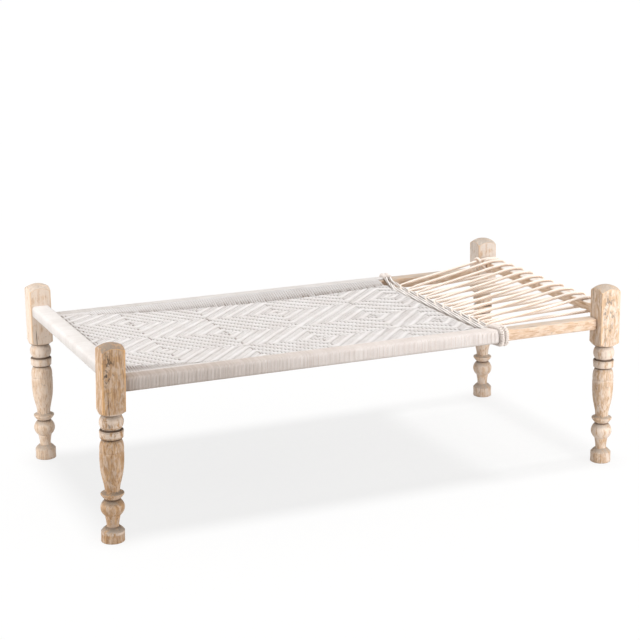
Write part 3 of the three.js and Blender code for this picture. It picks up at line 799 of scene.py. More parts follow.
@dataclass(frozen=True)
class CottonCord:
    """Undyed cotton cord, spun soft and laid in three plies.

    The eye sees a matte, slightly fuzzy cord with slanting plies, and faint patches of tone from handling.
    The fuzz is drawn coarser than real fibres, so that it shows.
    """

    name: str
    colour: str
    shade: str
    shade_and_dust_colour: str
    lay: float
    relief: float
    plies: int = 3
    patch: float = 60.0
    patch_levels: Span = (0.35, 0.7)
    fuzz: float = 0.9
    ply_share: float = 0.5

    def material(self) -> Material:
        """Build the node material.

        Returns:
            The material.
        """
        made, tree, shader = new_material(self.name)
        coords = add_node(tree, "TexCoord").outputs
        parts = add_node(tree, "SeparateXYZ", {"Vector": coords["UV"]}).outputs
        turns = {0: parts["X"], 1: 1 / (self.lay * MM), 2: parts["Y"]}
        spiral = add_node(tree, "Math", turns, operation="MULTIPLY_ADD").outputs[0]
        full_turn = 2 * math.pi * self.plies
        angle = add_node(tree, "Math", {0: spiral, 1: full_turn}, operation="MULTIPLY").outputs[0]
        plies = add_node(tree, "Math", {0: angle}, operation="SINE").outputs[0]
        noises = []
        for size in (self.patch, self.fuzz):
            inputs = {"Vector": coords["Object"], "Scale": 1 / (size * MM), "Detail": 3.0}
            noises.append(add_node(tree, "TexNoise", inputs).outputs["Fac"])
        tone, fuzz = noises
        limits = dict(zip(MAP_INPUTS, (tone, *self.patch_levels)))
        share = add_node(tree, "MapRange", limits).outputs["Result"]
        # The attribute mixes in the crevice colour as painted shade in grooves, under cords and in the
        # weave's holes, with some dirt
        shade_and_dust = add_node(tree, "Attribute", attribute_name="shade_and_dust", attribute_type="GEOMETRY").outputs["Fac"]
        colour = linear(self.colour)
        for amount, code in ((share, self.shade), (shade_and_dust, self.shade_and_dust_colour)):
            mixed = add_node(tree, "Mix", {0: amount, 6: colour, 7: linear(code)}, data_type="RGBA")
            colour = mixed.outputs[2]
        tree.links.new(colour, shader.inputs["Base Color"])
        laid = {0: plies, 1: self.ply_share, 2: fuzz}
        height = add_node(tree, "Math", laid, operation="MULTIPLY_ADD").outputs[0]
        bump = add_node(tree, "Bump", {"Height": height, "Strength": 0.5, "Distance": self.relief * MM})
        tree.links.new(bump.outputs["Normal"], shader.inputs["Normal"])
        for key, value in (("Roughness", 0.92), ("Sheen Weight", 0.1), ("Specular IOR Level", 0.2)):
            shader.inputs[key].default_value = value
        return made


# Legs


@dataclass(frozen=True)
class Turning:
    """One turned member of a leg: its height, its widest radius, and its outline as shares of both."""

    height: float
    radius: float
    outline: tuple[Pair, ...]


def swell(start: float, end: float, end_share: float, steps: int = 14) -> tuple[Pair, ...]:
    """Outline a rounded turning.

    Args:
        start: height share where it starts.
        end: height share where it ends.
        end_share: radius share at both ends.
        steps: number of steps between them.

    Returns:
        Pairs of a height share and a radius share.
    """
    outline = []
    for i in range(steps + 1):
        t = i / steps
        bulge = math.sin(math.pi * t) ** 0.75
        outline.append((start + (end - start) * t, end_share + (1 - end_share) * bulge))
    return tuple(outline)


FOOT = Turning(50.0, 36.8, (
    (0.0, 0.0), (0.0, 0.93), (0.015, 0.97), (0.05, 1.0), (0.4, 0.985), (0.74, 1.0), (0.89, 0.83), (0.97, 0.7),
    (1.0, 0.66),
))
NECK = Turning(39.0, 24.0, ((0.05, 0.8), (0.3, 0.81), (0.6, 0.87), (0.95, 0.98)))
BULB = Turning(57.0, 37.6, swell(0.02, 0.98, 0.62))
DISH = Turning(30.0, 36.5, (
    (0.0, 0.62), (0.06, 0.66), (0.12, 0.72), (0.25, 0.81), (0.4, 0.9), (0.5, 0.96), (0.59, 1.0), (0.66, 1.0),
    (0.72, 0.98), (0.76, 0.92), (0.84, 0.76), (0.91, 0.69), (1.0, 0.64),
))
VASE = Turning(179.0, 38.0, (
    (0.04, 0.62), (0.08, 0.645), (0.12, 0.68), (0.17, 0.735), (0.22, 0.79), (0.28, 0.852), (0.35, 0.91),
    (0.42, 0.947), (0.5, 0.975), (0.58, 0.99), (0.66, 1.0), (0.72, 0.995), (0.742, 0.985), (0.755, 0.955),
    (0.768, 0.985), (0.8, 0.99), (0.85, 0.98), (0.89, 0.955), (0.925, 0.915), (0.955, 0.86), (0.975, 0.8),
    (0.99, 0.75),
))
DISC = Turning(31.0, 37.6, (
    (0.0, 0.76), (0.02, 0.86), (0.04, 0.92), (0.1, 0.955), (0.5, 0.98), (0.74, 1.0), (0.775, 0.99),
    (0.79, 0.955), (0.805, 0.99), (0.84, 1.0), (0.89, 0.985), (0.93, 0.96), (0.955, 0.88), (0.97, 0.78),
))
BUN = Turning(52.0, 37.8, swell(0.01, 0.91, 0.76) + ((0.96, 0.74), (1.0, 0.74), (1.08, 0.7), (1.08, 0.0)))


@dataclass
class TurnedLeg:
    """One leg: a turned shaft under a square block with a domed top."""

    end: End
    side: Side
    finish: LimedWood
    lean: float = 0.0
    thickness: float = 1.0
    height_share: float = 1.0
    steps: int = 56
    envelope_steps: int = 64
    dome_steps: int = 12
    height: float = 660.0
    lean_pivot: float = 541.0
    dome_radius: float = 73.0
    shoulder: float = 14.0
    seat_shares: Pair = (0.97, 1.02)
    seat_rise: float = 1.5
    corner_room: float = 3.0
    edge_round: float = 3.2
    worn_round: float = 1.1
    turnings: tuple[Turning, ...] = (FOOT, NECK, BULB, DISH, VASE, DISC, BUN)

    @property
    def block_bottom(self) -> float:
        """Height of the square block's underside."""
        return sum(turning.height for turning in self.turnings) * self.height_share

    @property
    def name(self) -> str:
        """Name of the leg's node."""
        return f"leg_{self.end.name.lower()}_{self.side.name.lower()}"

    def shaft(self) -> Piece:
        """Turn the shaft from its outline.

        Returns:
            A closed solid of revolution.
        """
        base = 0.0
        outline = []
        for turning in self.turnings:
            for rise, reach in turning.outline:
                level = (base + turning.height * rise) * self.height_share
                outline.append((turning.radius * reach * self.thickness, level))
            base += turning.height
        return turned_solid(self.name + "_shaft", outline, self.steps)

    def envelope(self) -> Piece:
        """Turn the solid that rounds the block: a cone below and a sphere above.

        Returns:
            A closed solid of revolution.
        """
        corner = BED.block_half * math.sqrt(2) + self.corner_room
        inner, outer = (BED.block_half * share for share in self.seat_shares)
        bottom = self.block_bottom
        outline = [(0.0, bottom), (inner, bottom), (outer, bottom + self.seat_rise)]
        outline.append((corner, bottom + self.shoulder))
        start = math.asin(corner / self.dome_radius)
        for i in range(self.dome_steps + 1):
            angle = start * (1 - i / self.dome_steps)
            drop = self.dome_radius * (1 - math.cos(angle))
            outline.append((self.dome_radius * math.sin(angle), self.height - drop))
        return turned_solid(self.name + "_envelope", outline, self.envelope_steps)

    def block(self) -> Piece:
        """Cut the square block.

        Returns:
            A box with rounded upright edges.
        """
        bm = bmesh.new()
        size = 2 * BED.block_half
        rise = self.height - self.block_bottom
        bmesh.ops.create_cube(bm, size=1.0)
        bmesh.ops.scale(bm, vec=(size, size, rise), verts=bm.verts)
        bmesh.ops.translate(bm, vec=(0, 0, self.block_bottom + rise / 2), verts=bm.verts)
        bevel(bm, [e for e in bm.edges if abs(e.verts[0].co.z - e.verts[1].co.z) > 1], self.edge_round, 3)
        return object_from_bmesh(self.name + "_block", bm)

    def build(self) -> Piece:
        """Join the block and the shaft, soften the cut edges and set the leg in its place.

        Returns:
            The dressed leg.
        """
        block = self.block()
        helpers = [self.envelope(), self.shaft()]
        for helper, action in zip(helpers, ("INTERSECT", "UNION")):
            cut = block.modifiers.new(action.lower(), "BOOLEAN")
            cut.operation = action
            cut.solver = "EXACT"
            cut.object = helper
        bake_modifiers(block)
        for helper in helpers:
            bpy.data.objects.remove(helper)
        bm = bmesh.new()
        bm.from_mesh(block.data)
        bpy.data.objects.remove(block)
        bmesh.ops.remove_doubles(bm, verts=bm.verts, dist=0.05 * MM)
        bmesh.ops.dissolve_degenerate(bm, edges=bm.edges, dist=0.02 * MM)
        for vert in bm.verts:
            share = 1 - vert.co.z / (self.lean_pivot * MM)
            vert.co.x += (self.end.value * BED.leg_x + self.lean * share) * MM
            vert.co.y += self.side.value * BED.leg_y * MM
        bmesh.ops.scale(bm, vec=(1 / MM, 1 / MM, 1 / MM), verts=bm.verts)
        piece = object_from_bmesh(self.name + "_turned", bm)
        soften = piece.modifiers.new("worn edges", "BEVEL")
        soften.width = self.worn_round * MM
        soften.segments = 2
        soften.limit_method = "ANGLE"
        soften.angle_limit = math.radians(40)
        soften.harden_normals = False
        dress(piece, self.finish.material(), [self.name])
        return piece


# Rails


@dataclass
class HewnRail:
    """A rail with rounded long edges and pillowed shoulders, planed by hand."""

    node: str
    axis: Axis
    centre: Point
    length: float
    width: float
    height: float
    finish: LimedWood
    seed: int
    cuts: int = 30
    waver: float = 0.7
    wave_counts: Span = (0.6, 3.2)
    wave_phases: Span = (0.0, 6.28)
    wave_sizes: Span = (0.3, 1.0)
    sway_share: float = 0.5
    bow_share: float = 0.35
    straight_share: float = 0.12
    shape: Optional[Callable[[Vector], Vector]] = None

    def hew(self, bm: bmesh.types.BMesh) -> None:
        """Give a straight bar the unevenness of hand planing, none at its ends.

        Args:
            bm: the bar, along the X axis.
        """
        rng = random.Random(self.seed)
        kinds = (self.wave_counts, self.wave_phases, self.wave_sizes)
        waves = [tuple(rng.uniform(*kind) for kind in kinds) for _ in range(5)]
        for vert in bm.verts:
            t = vert.co.x / self.length * 2 * math.pi
            sway = sum(a * math.sin(f * t + p) for f, p, a in waves[:3])
            bow = sum(a * math.sin(f * t + p) for f, p, a in waves[2:])
            ends = smoothstep((self.length / 2 - abs(vert.co.x)) / (self.length * self.straight_share))
            vert.co.y += self.waver * sway * ends * self.sway_share
            vert.co.z += self.waver * bow * ends * self.bow_share

    def build(self) -> Piece:
        """Shape the rail from a bar.

        Returns:
            The dressed rail.
        """
        bm = bmesh.new()
        bmesh.ops.create_cube(bm, size=1.0)
        bmesh.ops.scale(bm, vec=(self.length, self.width, self.height), verts=bm.verts)
        bevel(bm, bm.edges, BED.rail_round, 4)
        long_edges = [e for e in bm.edges if abs(e.verts[0].co.x - e.verts[1].co.x) > self.length / 2]
        bmesh.ops.subdivide_edges(bm, edges=long_edges, cuts=self.cuts, use_grid_fill=True)
        self.hew(bm)
        if self.shape:
            for vert in bm.verts:
                vert.co = self.shape(vert.co)
        if self.axis is Axis.Y:
            bmesh.ops.rotate(bm, cent=(0, 0, 0), matrix=Matrix.Rotation(math.pi / 2, 3, "Z"), verts=bm.verts)
        bmesh.ops.translate(bm, vec=self.centre, verts=bm.verts)
        piece = object_from_bmesh(self.node + "_hewn", bm, 50)
        dress(piece, self.finish.material(), [self.node])
        return piece


# Foot rope


@dataclass
class RopeEnds:
    """How the three passes of the foot rope spread where they reach a side rail.

    They veer towards the foot over a length beside the rail, and lie at their reach there. One of them comes
    from under the rail.
    """

    veer: float
    length: float
    reach: tuple[float, float, float]
    from_under: int


@dataclass
class FootRope:
    """One thick rope in three passes across the bed, with two whipped turns on each side rail."""

    finish: CottonCord
    whip_finish: CottonCord
    reach: float = 1353.0
    radius: float = 6.0
    offsets: tuple[float, float, float] = (0.0, 13.7, 38.3)
    turn_radius: float = 7.9
    turn_pitch: float = 17.6
    bow: float = 8.0
    skew: float = 11.0
    top_drop: float = 5.0
    sag: float = 5.0
    under_drop: float = 14.0
    bend_radius: float = 13.0
    approach: float = 19.5
    outer_shift: Pair = (20.0, 4.0)
    drift: Pair = (6.0, 9.0)
    front: RopeEnds = field(default_factory=lambda: RopeEnds(12.5, 45.0, (0.0, 18.4, 24.4), 2))
    back: RopeEnds = field(default_factory=lambda: RopeEnds(34.0, 150.0, (0.0, 9.0, 18.4), 1))
    sample: float = 6.0
    strand_count: int = 3
    strand_radius: float = 3.1
    strand_lay: float = 250.0
    whip_reach: float = 9.2
    whip_radius: float = 2.7
    whip_pitch: float = 6.4
    samples_per_whip: int = 10
    crossing_shares: tuple[float, ...] = (0, 0.015, 0.03, 0.045, 0.06, 0.08, 0.11, 0.15, 0.24, 0.37, 0.5)
    turn_stops: tuple[Stop, ...] = (
        (0, 125), (0, 108), (0, 90), (1, 90), (1, 68), (1, 45), (1, 22), (1, 0), (2, 0), (2, -22), (2, -45),
        (2, -68), (2, -90), (3, -90), (3, -112), (3, -135), (3, -158), (3, -180),
    )

    def ends_at(self, y: float) -> RopeEnds:
        """Return the spread of the end that a place is nearer to."""
        return self.front if y < 0 else self.back

    def end_share(self, y: float) -> float:
        """Return 0 along the open bed, rising to 1 at the rail."""
        ends = self.ends_at(y)
        return smoothstep((abs(y) - BED.rail_inner + ends.length) / ends.length)

    def pass_x(self, strand: int, y: float) -> float:
        """Find where one of the three passes lies along the bed.

        Args:
            strand: number of the pass, from 0 beside the weave.
            y: place across the bed.

        Returns:
            The place along the bed.
        """
        share = y / BED.rail_inner
        bowed = self.bow * (1 - share * share) - self.skew * share
        ends = self.ends_at(y)
        shift = ends.veer + ends.reach[strand] - self.offsets[strand]
        return -BED.leg_x + self.reach + bowed + self.offsets[strand] + shift * self.end_share(y)

    def pass_z(self, y: float) -> float:
        """Return the height of the passes."""
        share = y / BED.rail_inner
        return BED.side_rail_top - self.top_drop - self.sag * (1 - share * share)

    def pass_point(self, strand: int, y: float) -> Point:
        """Return a point on the middle line of one of the passes."""
        drop = self.under_drop * self.end_share(y) if self.ends_at(y).from_under == strand else 0.0
        return (self.pass_x(strand, y), y, self.pass_z(y) - drop)

    def rail_turn(self, side: Side, start: float) -> list[Point]:
        """Follow one whole turn on a side rail, from its inner top edge to its inner side.

        Args:
            side: which of the two rails.
            start: place along the bed where the turn starts.

        Returns:
            Points of the rope's middle line.
        """
        which = 0 if side is Side.FRONT else 1
        section = round_side_rail(side, self.turn_radius + BED.fit_gap, self.turn_stops)
        runs = runs_along(np.array(section))
        points = []
        for (y, z), share in zip(section, runs / runs[-1]):
            x = start + self.outer_shift[which] * math.sin(math.pi * share) + self.drift[which] * share
            points.append((x, y, z))
        return points

    def inner_bend(self, side: Side, x: float) -> list[Point]:
        """Follow the bend by which a pass leaves the inner side of a rail.

        Args:
            side: which of the two rails.
            x: place along the bed.

        Returns:
            Points of the rope's middle line.
        """
        face = BED.rail_inner - self.turn_radius - BED.fit_gap
        level = self.pass_z(BED.rail_inner) - self.under_drop
        points = []
        for degrees in (0, 30, 60, 90):
            angle = math.radians(degrees)
            y = side.value * (face - self.bend_radius * (1 - math.cos(angle)))
            points.append((x, y, level - self.bend_radius * (1 - math.sin(angle))))
        return points

    def crossing(self, strand: int, side: Side, first: float, last: float) -> list[Point]:
        """Follow one pass across the bed, between two distances from its middle."""
        shares = list(self.crossing_shares) + [1 - share for share in self.crossing_shares[-2::-1]]
        return [self.pass_point(strand, side.value * (first - (last + first) * share)) for share in shares]

    def parts(self) -> list[tuple[bool, list[Point]]]:
        """List the rope's stretches in order.

        Returns:
            For each stretch, whether it is a whipped turn, and its points.
        """
        front_x = self.pass_x(0, -BED.rail_inner)
        back_x = self.pass_x(0, BED.rail_inner)
        over = BED.rail_inner - self.approach
        inner = over - self.turn_radius - BED.fit_gap
        first = self.rail_turn(Side.FRONT, front_x)[::-1]
        last = self.rail_turn(Side.BACK, back_x + self.turn_pitch)
        stubs = [(x, y, z + 2 * self.turn_radius) for x, y, z in (first[0], last[-1])]
        return [
            (True, stubs[:1] + first),
            (False, self.crossing(0, Side.FRONT, over, over)),
            (True, self.rail_turn(Side.BACK, back_x)),
            (False, self.inner_bend(Side.BACK, back_x + self.drift[1])),
            (False, self.crossing(1, Side.BACK, inner, over)),
            (True, self.rail_turn(Side.FRONT, front_x + self.turn_pitch)),
            (False, self.inner_bend(Side.FRONT, front_x + self.turn_pitch + self.drift[0])),
            (False, self.crossing(2, Side.FRONT, inner, over)),
            (True, last + stubs[1:]),
        ]

    def build(self) -> list[Piece]:
        """Lay the rope's strands and whip its turns.

        Returns:
            The dressed pieces.
        """
        parts = self.parts()
        whole = smooth_path([point for _, points in parts for point in points], self.sample)
        laid = strands(whole, self.strand_count, self.strand_radius, self.strand_lay)
        rope = cord_object("foot_rope_strands", laid, self.strand_radius, 2)
        dress(rope, self.finish.material(), ["foot_rope"])
        windings = []
        for whipped, points in parts:
            if whipped:
                line = smooth_path(points, self.whip_pitch / self.samples_per_whip)
                windings += strands(line, 1, self.whip_reach - self.whip_radius, self.whip_pitch)
        whip = cord_object("foot_rope_whipping", windings, self.whip_radius)
        dress(whip, self.whip_finish.material())
        return [rope, whip]


# Weave


@dataclass(frozen=True)
class FloatShape:
    """Heights of a float's stops as shares of a cord's lift, and the painted shade of its clean parts and far
    end.

    A lone crossing is one that lasts for a single pair.
    """

    lone_over: float = 0.55
    lone_under: float = -0.7
    shoulder: float = 0.5
    under_shoulder: float = -0.8
    crown_start: float = 0.3
    near_crown: float = 0.92
    clean: float = 0.04
    far_end_shade: float = 0.1


@dataclass
class Weave:
    """The twill-woven panel, its borders, and the turns of its cords round the rails.

    Cords run in pairs, each pair over three and under three of the other kind. Columns are the places along
    the bed where the pattern turns back, from the head legs' axis, and rows are those across it. They make
    its diamonds. Painted shade, from 0 to 1, darkens the cords where the weave is open, where they pass under
    other cords and round the rails, with some dirt. Where a shade, a shadow or a slant has two values, the
    first is for the left cord of a pair or for the near rail. Near the head, a painted shade beside the head
    rail and the painted shade of the left cords fade from a start over a length.
    """

    finish: CottonCord
    wrap_finish: CottonCord
    darker_wrap_finish: CottonCord
    rope: FootRope
    thickness: float = 8.0
    border: float = 45.0
    head_slope: float = 42.0
    sag: float = 33.0
    field_rise: float = 8.0
    edge_drop: float = 1.0
    sag_power: float = 0.75
    head_share: float = 0.4
    rope_gap: float = 1.6
    weft_step: float = 9.2
    weft_widening: float = 1.15
    weft_ends: Pair = (24.0, 8.0)
    widening_start: float = 0.4
    widening_run: float = 0.35
    warp_step: float = 10.2
    warp_widening: float = 1.6
    warp_margin: float = 3.0
    weft_radius: float = 1.95
    warp_radius: float = 2.05
    turn_radius: float = 2.2
    turn_pitch: float = 4.65
    weft_lift: float = 2.8
    warp_lift: float = 3.0
    weft_dive: float = 1.4
    warp_dive: float = 1.0
    pair_spread: float = 1.95
    jitter: float = 0.12
    turn_looseness: float = 0.3
    float_length: int = 3
    floats: FloatShape = FloatShape()
    columns: tuple[float, ...] = (274.0, 564.0, 834.0, 1134.0, 1294.0)
    rows: tuple[float, ...] = (-185.0, 3.0, 210.0)
    seed: int = 7
    calm_start: float = 500.0
    calm_run: float = 450.0
    # Painted shade in the weave: a darkening of all wefts, and shade at open float ends, at reversals, in the
    # hem's holes and up the borders
    weft_darkening: float = 0.08
    open_shade: float = 0.3
    reversal_shade: Pair = (0.7, 0.2)
    hem_shade: tuple[Span, Span] = ((0.1, 1.0), (0.0, 0.3))
    near_hem_shade: float = 0.25
    border_shade: Pair = (0.4, 0.15)
    far_border_shade: float = 0.05
    hem_reach: float = 4.0
    # Painted shade of the rail turns by stop: a greyer top, and shade round the lower edge and under the rail
    turn_shade_and_tone: tuple[float, ...] = (0.24, 0.24, 0.24, 0.16, 0.05, 0.0, 0.0, 0.1, 0.4, 0.9, 1.0, 1.0, 1.0, 1.0)
    upper_stops: int = 5
    back_top_darkening: float = 0.04
    leg_shadow: Pair = (0.28, 0.08)
    leg_fade: float = 1.3
    dust_scatter: Pair = (0.05, 0.12)
    corner_shadow: float = 0.3
    corner_run: float = 50.0
    # Even painted shade of the head turns, which the lamps light brightly
    head_turn_shade: Span = (0.06, 0.14)
    head_shade: Pair = (16.0, 12.0)
    near_head: Pair = (30.0, 350.0)
    # Start of each warp: out, up, and the painted shadow of the head rail
    head_stops: tuple[Point, ...] = ((-0.3, -9.0, 1.0), (3.0, -19.0, 0.8))
    foot_room: float = 4.0
    foot_dip: float = 2.0
    under_rope: Pair = (4.5, 12.0)
    border_crown: float = 1.0
    hem_dip: float = 0.5
    rope_slant: Pair = (16.0, 6.0)
    slant_power: int = 12
    wrap_gap: float = 1.3
    leaning: int = 4
    extra_turns: int = 3
    low_share: float = 0.985
    low_lead: float = 0.4
    head_gap: float = 2.0

    @property
    def panel_side(self) -> float:
        """Distance of the panel's long edge from the middle of the bed."""
        return BED.rail_inner - BED.wrap_thickness - BED.fit_gap

    @property
    def field_side(self) -> float:
        """Distance of the patterned field's edge from the middle of the bed."""
        return self.panel_side - self.border

    @property
    def head_x(self) -> float:
        """Place of the panel's edge on the head rail."""
        return -BED.leg_x + BED.end_rail_width / 2 + BED.wrap_thickness + BED.fit_gap

    def foot_x(self, y: float) -> float:
        """Find the panel's edge beside the foot rope.

        Args:
            y: place across the bed.

        Returns:
            The edge's place along the bed.
        """
        near = self.rope.radius
        slope = (self.rope.pass_x(0, y + near) - self.rope.pass_x(0, y - near)) / (2 * near)
        reach = near + (self.rope.turn_radius - near) * self.rope.end_share(y) + self.rope_gap
        return self.rope.pass_x(0, y) - reach * math.hypot(1, slope)

    def middle_z(self, x: float, y: float) -> float:
        """Find the height of the weave's middle surface, which sags and climbs to the side rails.

        Args:
            x: place along the bed.
            y: place across the bed.

        Returns:
            The height.
        """
        foot = self.foot_x(y)
        share = min(max((x - self.head_x) / (foot - self.head_x), 0.0), 1.0)
        head_edge = BED.end_rail_bottom + BED.end_rail_height * self.head_share
        foot_edge = self.rope.pass_z(y) + self.rope.radius / 2
        depth = (4 * share * (1 - share)) ** self.sag_power
        aside = min(abs(y) / self.field_side, 1.0)
        climb = min(max(abs(y) - self.field_side, 0.0) / self.border, 1.0)
        drop = (self.sag - self.field_rise * aside * aside) * depth
        level = head_edge + (foot_edge - head_edge) * share - drop
        side_edge = BED.side_rail_top + BED.wrap_thickness - self.edge_drop
        return level + (side_edge - level) * climb - self.thickness / 2

    def calm(self, x: float) -> float:
        """Return how strongly the painted shade shows in the weave, less towards the foot."""
        return 1.1 - 0.5 * smoothstep((x - self.head_x - self.calm_start) / self.calm_run)

    def nearest(self, places: Sequence[float], turns: Sequence[float]) -> set[int]:
        """Return the numbers of the cord pairs that lie nearest to some places."""
        return {int(np.argmin(np.abs(np.array(places) - turn))) for turn in turns}

    def steps(self, places: Sequence[float], turns: Sequence[float]) -> list[int]:
        """Number the cord pairs so that the count turns back at each given place.

        Args:
            places: places of the cord pairs.
            turns: places where the pattern reverses.

        Returns:
            One number per pair.
        """
        marks = self.nearest(places, turns)
        numbers = [0]
        way = 1
        for i in range(len(places) - 1):
            if i in marks:
                way = -way
            numbers.append(numbers[-1] + way)
        return numbers

    def weft_places(self) -> list[float]:
        """Place the pairs of weft cords, which lie closer together towards the head.

        Returns:
            Their places along the bed.
        """
        start = self.head_x + self.weft_ends[0]
        end = self.foot_x(0.0) - self.weft_ends[1]
        places = [start]
        while places[-1] < end:
            share = (places[-1] - start) / (end - start)
            wider = smoothstep((share - self.widening_start) / self.widening_run)
            places.append(places[-1] + self.weft_step + self.weft_widening * wider)
        return places[:-1]

    def warp_places(self) -> list[float]:
        """Place the pairs of warp cords, which lie closer together towards the back.

        Returns:
            Their places across the bed.
        """
        side = self.field_side - self.warp_margin
        places = [-side]
        while places[-1] < side:
            places.append(places[-1] + self.warp_step - self.warp_widening * places[-1] / side)
        return places[:-1]

    def column_places(self) -> list[float]:
        """Return the places along the bed where the pattern turns back."""
        return [x - BED.leg_x for x in self.columns]

    def layout(self) -> tuple[list[float], list[float], np.ndarray]:
        """Place the pairs of cords and decide which lies on top at each crossing.

        Returns:
            Places of the weft pairs and of the warp pairs, and a table that is true where the warp is over.
        """
        weft_x = self.weft_places()
        warp_y = self.warp_places()
        a = self.steps(weft_x, self.column_places())
        b = self.steps(warp_y, self.rows)
        period = 2 * self.float_length
        over = np.array([[(p + q) % period < self.float_length for q in b] for p in a])
        return weft_x, warp_y, over

    def waves(
        self, over: np.ndarray, places: Sequence[float], dive: float, open_ends: Optional[np.ndarray] = None
    ) -> list[tuple[float, float, float]]:
        """Turn one cord's row of crossings into arched floats.

        Args:
            over: whether the cord lies on top, for each crossing.
            places: place of each crossing.
            dive: how far past its last crossing a float reaches before it goes down.
            open_ends: how open the weave is beside each crossing, 0 to 1, if a float starts there.

        Returns:
            Place, height (1 at the top of a float, -1 at the bottom) and painted shade of each point, full
            under other cords.
        """
        shape = self.floats
        points = []
        start = 0
        for i in range(1, len(over) + 1):
            if i < len(over) and over[i] == over[start]:
                continue
            first, last = places[start], places[i - 1]
            hole = shape.clean if open_ends is None else float(open_ends[start])
            if i - 1 == start and over[start]:
                points.append((first, shape.lone_over, hole))
            elif i - 1 == start:
                points.append((first, shape.lone_under, 1.0))
            elif over[start]:
                crown = first + (last - first) * shape.crown_start
                points.append((first - dive, shape.shoulder, min(1.0, hole * 1.1)))
                points.append((crown, shape.near_crown, hole * 0.9))
                points.append(((first + 2 * last) / 3, 1.0, hole / 2))
                points.append((last + dive, shape.shoulder, shape.far_end_shade))
            else:
                points.append((first + dive, shape.under_shoulder, 1.0))
                points.append(((first + last) / 2, -1.0, 1.0))
                points.append((last - dive, shape.under_shoulder, 1.0))
            start = i
        return points

    def warps(self, weft_x: list[float], warp_y: list[float], over: np.ndarray) -> list[Cord]:
        """Lay the cords that run along the bed, from the head rail to the foot rope.

        Args:
            weft_x: places of the weft pairs.
            warp_y: places of the warp pairs.
            over: whether the warp is over, for each crossing.

        Returns:
            Two cords per pair.
        """
        rng = random.Random(self.seed)
        cords = []
        edge_x = -BED.leg_x + BED.end_rail_width / 2 + self.warp_radius
        for j, y0 in enumerate(warp_y):
            waves = self.waves(over[:, j], weft_x, self.warp_dive)
            quarter_step = (warp_y[min(j + 1, len(warp_y) - 1)] - warp_y[max(j - 1, 0)]) / 8
            for offset in (-quarter_step, quarter_step):
                y = y0 + offset + rng.uniform(-self.jitter, self.jitter)
                foot = self.foot_x(y)
                # The warp starts in the painted shadow of the head rail
                points = [(edge_x + out, y, BED.end_rail_top + up, darkness) for out, up, darkness in self.head_stops]
                for x, way, darkness in waves:
                    if x > foot - self.foot_room:
                        break
                    # Painted shade in the valley beside the head rail's wrap
                    shade = 1.0 - max(0.0, x - self.head_x - self.head_shade[0]) / self.head_shade[1]
                    height = self.middle_z(x, y) + way * self.warp_lift
                    points.append((x, y, height, max(darkness * self.calm(x), shade)))
                under = self.rope.pass_z(y) - self.rope.radius - self.warp_radius
                # Beside and under the foot rope the cord is painted dark, as shade
                points.append((foot, y, self.middle_z(foot, y) - self.foot_dip, 0.9))
                points += [(foot + reach, y, under, 1.0) for reach in self.under_rope]
                table = np.array(points)
                cords.append(Cord(table[:, :3], table[:, 3]))
        return cords

    def climb(self, x: float, side: Side, hole: float, shade: float) -> list[tuple[float, ...]]:
        """Follow a weft cord from a side rail down to the patterned field.

        Args:
            x: place along the bed.
            side: which of the two rails.
            hole: how much painted shade the cord has where it enters the field, in the weave's holes.
            shade: how much painted shade it has halfway up the border.

        Returns:
            Points of the cord's middle line, each with its painted shade.
        """
        inner_top = round_side_rail(side, self.weft_radius + BED.fit_gap, [(0, 95), (0, 118)])
        far = side.value * (self.field_side + self.border / 2)
        hem = side.value * (self.field_side + self.hem_reach)
        points = [(x, y, z, 0.0) for y, z in inner_top]
        points.append((x, far, self.middle_z(x, far) + self.border_crown, shade))
        points.append((x, hem, self.middle_z(x, hem) - self.hem_dip, hole))
        return points

    def wefts(self, weft_x: list[float], warp_y: list[float], over: np.ndarray) -> list[Cord]:
        """Lay the cords that run across the bed, up the borders to the side rails.

        The left cord of a pair faces the open weave beside it and gets more painted shade, most of all where
        the pattern turns back, and at the near border towards the head.

        Args:
            weft_x: places of the weft pairs.
            warp_y: places of the warp pairs.
            over: whether the warp is over, for each crossing.

        Returns:
            Two cords per pair.
        """
        rng = random.Random(self.seed + 1)
        cords = []
        reversals = self.nearest(weft_x, self.column_places())
        # Painted shade of single cords beside the head rail, in the valley beside its wrap,
        # by pair and by way out from the pair's middle
        head_edge_shade = {(0, -1): 0.8, (0, 1): 0.5, (2, -1): 0.55}
        for i, x0 in enumerate(weft_x):
            open_weave = over[max(i - 1, 0), :] * self.open_shade
            spread = self.pair_spread * (x0 - weft_x[i - 1]) / self.weft_step if i else self.pair_spread
            near_head = 1 - smoothstep((x0 - self.head_x - self.near_head[0]) / self.near_head[1])
            for way_out in (-1, 1):
                left = way_out < 0
                which = 0 if left else 1
                x = x0 + way_out * spread + rng.uniform(-self.jitter, self.jitter)
                open_ends = open_weave if left else np.zeros(len(warp_y))
                if i in reversals:
                    open_ends = np.full(len(warp_y), self.reversal_shade[which])
                near_hole, far_hole = (rng.uniform(*self.hem_shade[which]) for _ in Side)
                if left:
                    near_hole = min(1.0, near_hole + self.near_hem_shade * near_head)
                shade = self.border_shade[0] * near_head + self.border_shade[which]
                points = self.climb(x, Side.FRONT, near_hole, shade)
                at_edge = head_edge_shade.get((i, way_out), 0.0)
                for y, way, darkness in self.waves(~over[i, :], warp_y, self.weft_dive, open_ends):
                    darkness = min(1.0, (darkness + self.weft_darkening) * self.calm(x) + at_edge)
                    points.append((x, y, self.middle_z(x, y) + way * self.weft_lift, darkness))
                points += self.climb(x, Side.BACK, far_hole, self.far_border_shade)[::-1]
                table = np.array(points)
                cords.append(Cord(table[:, :3], table[:, 3]))
        return cords

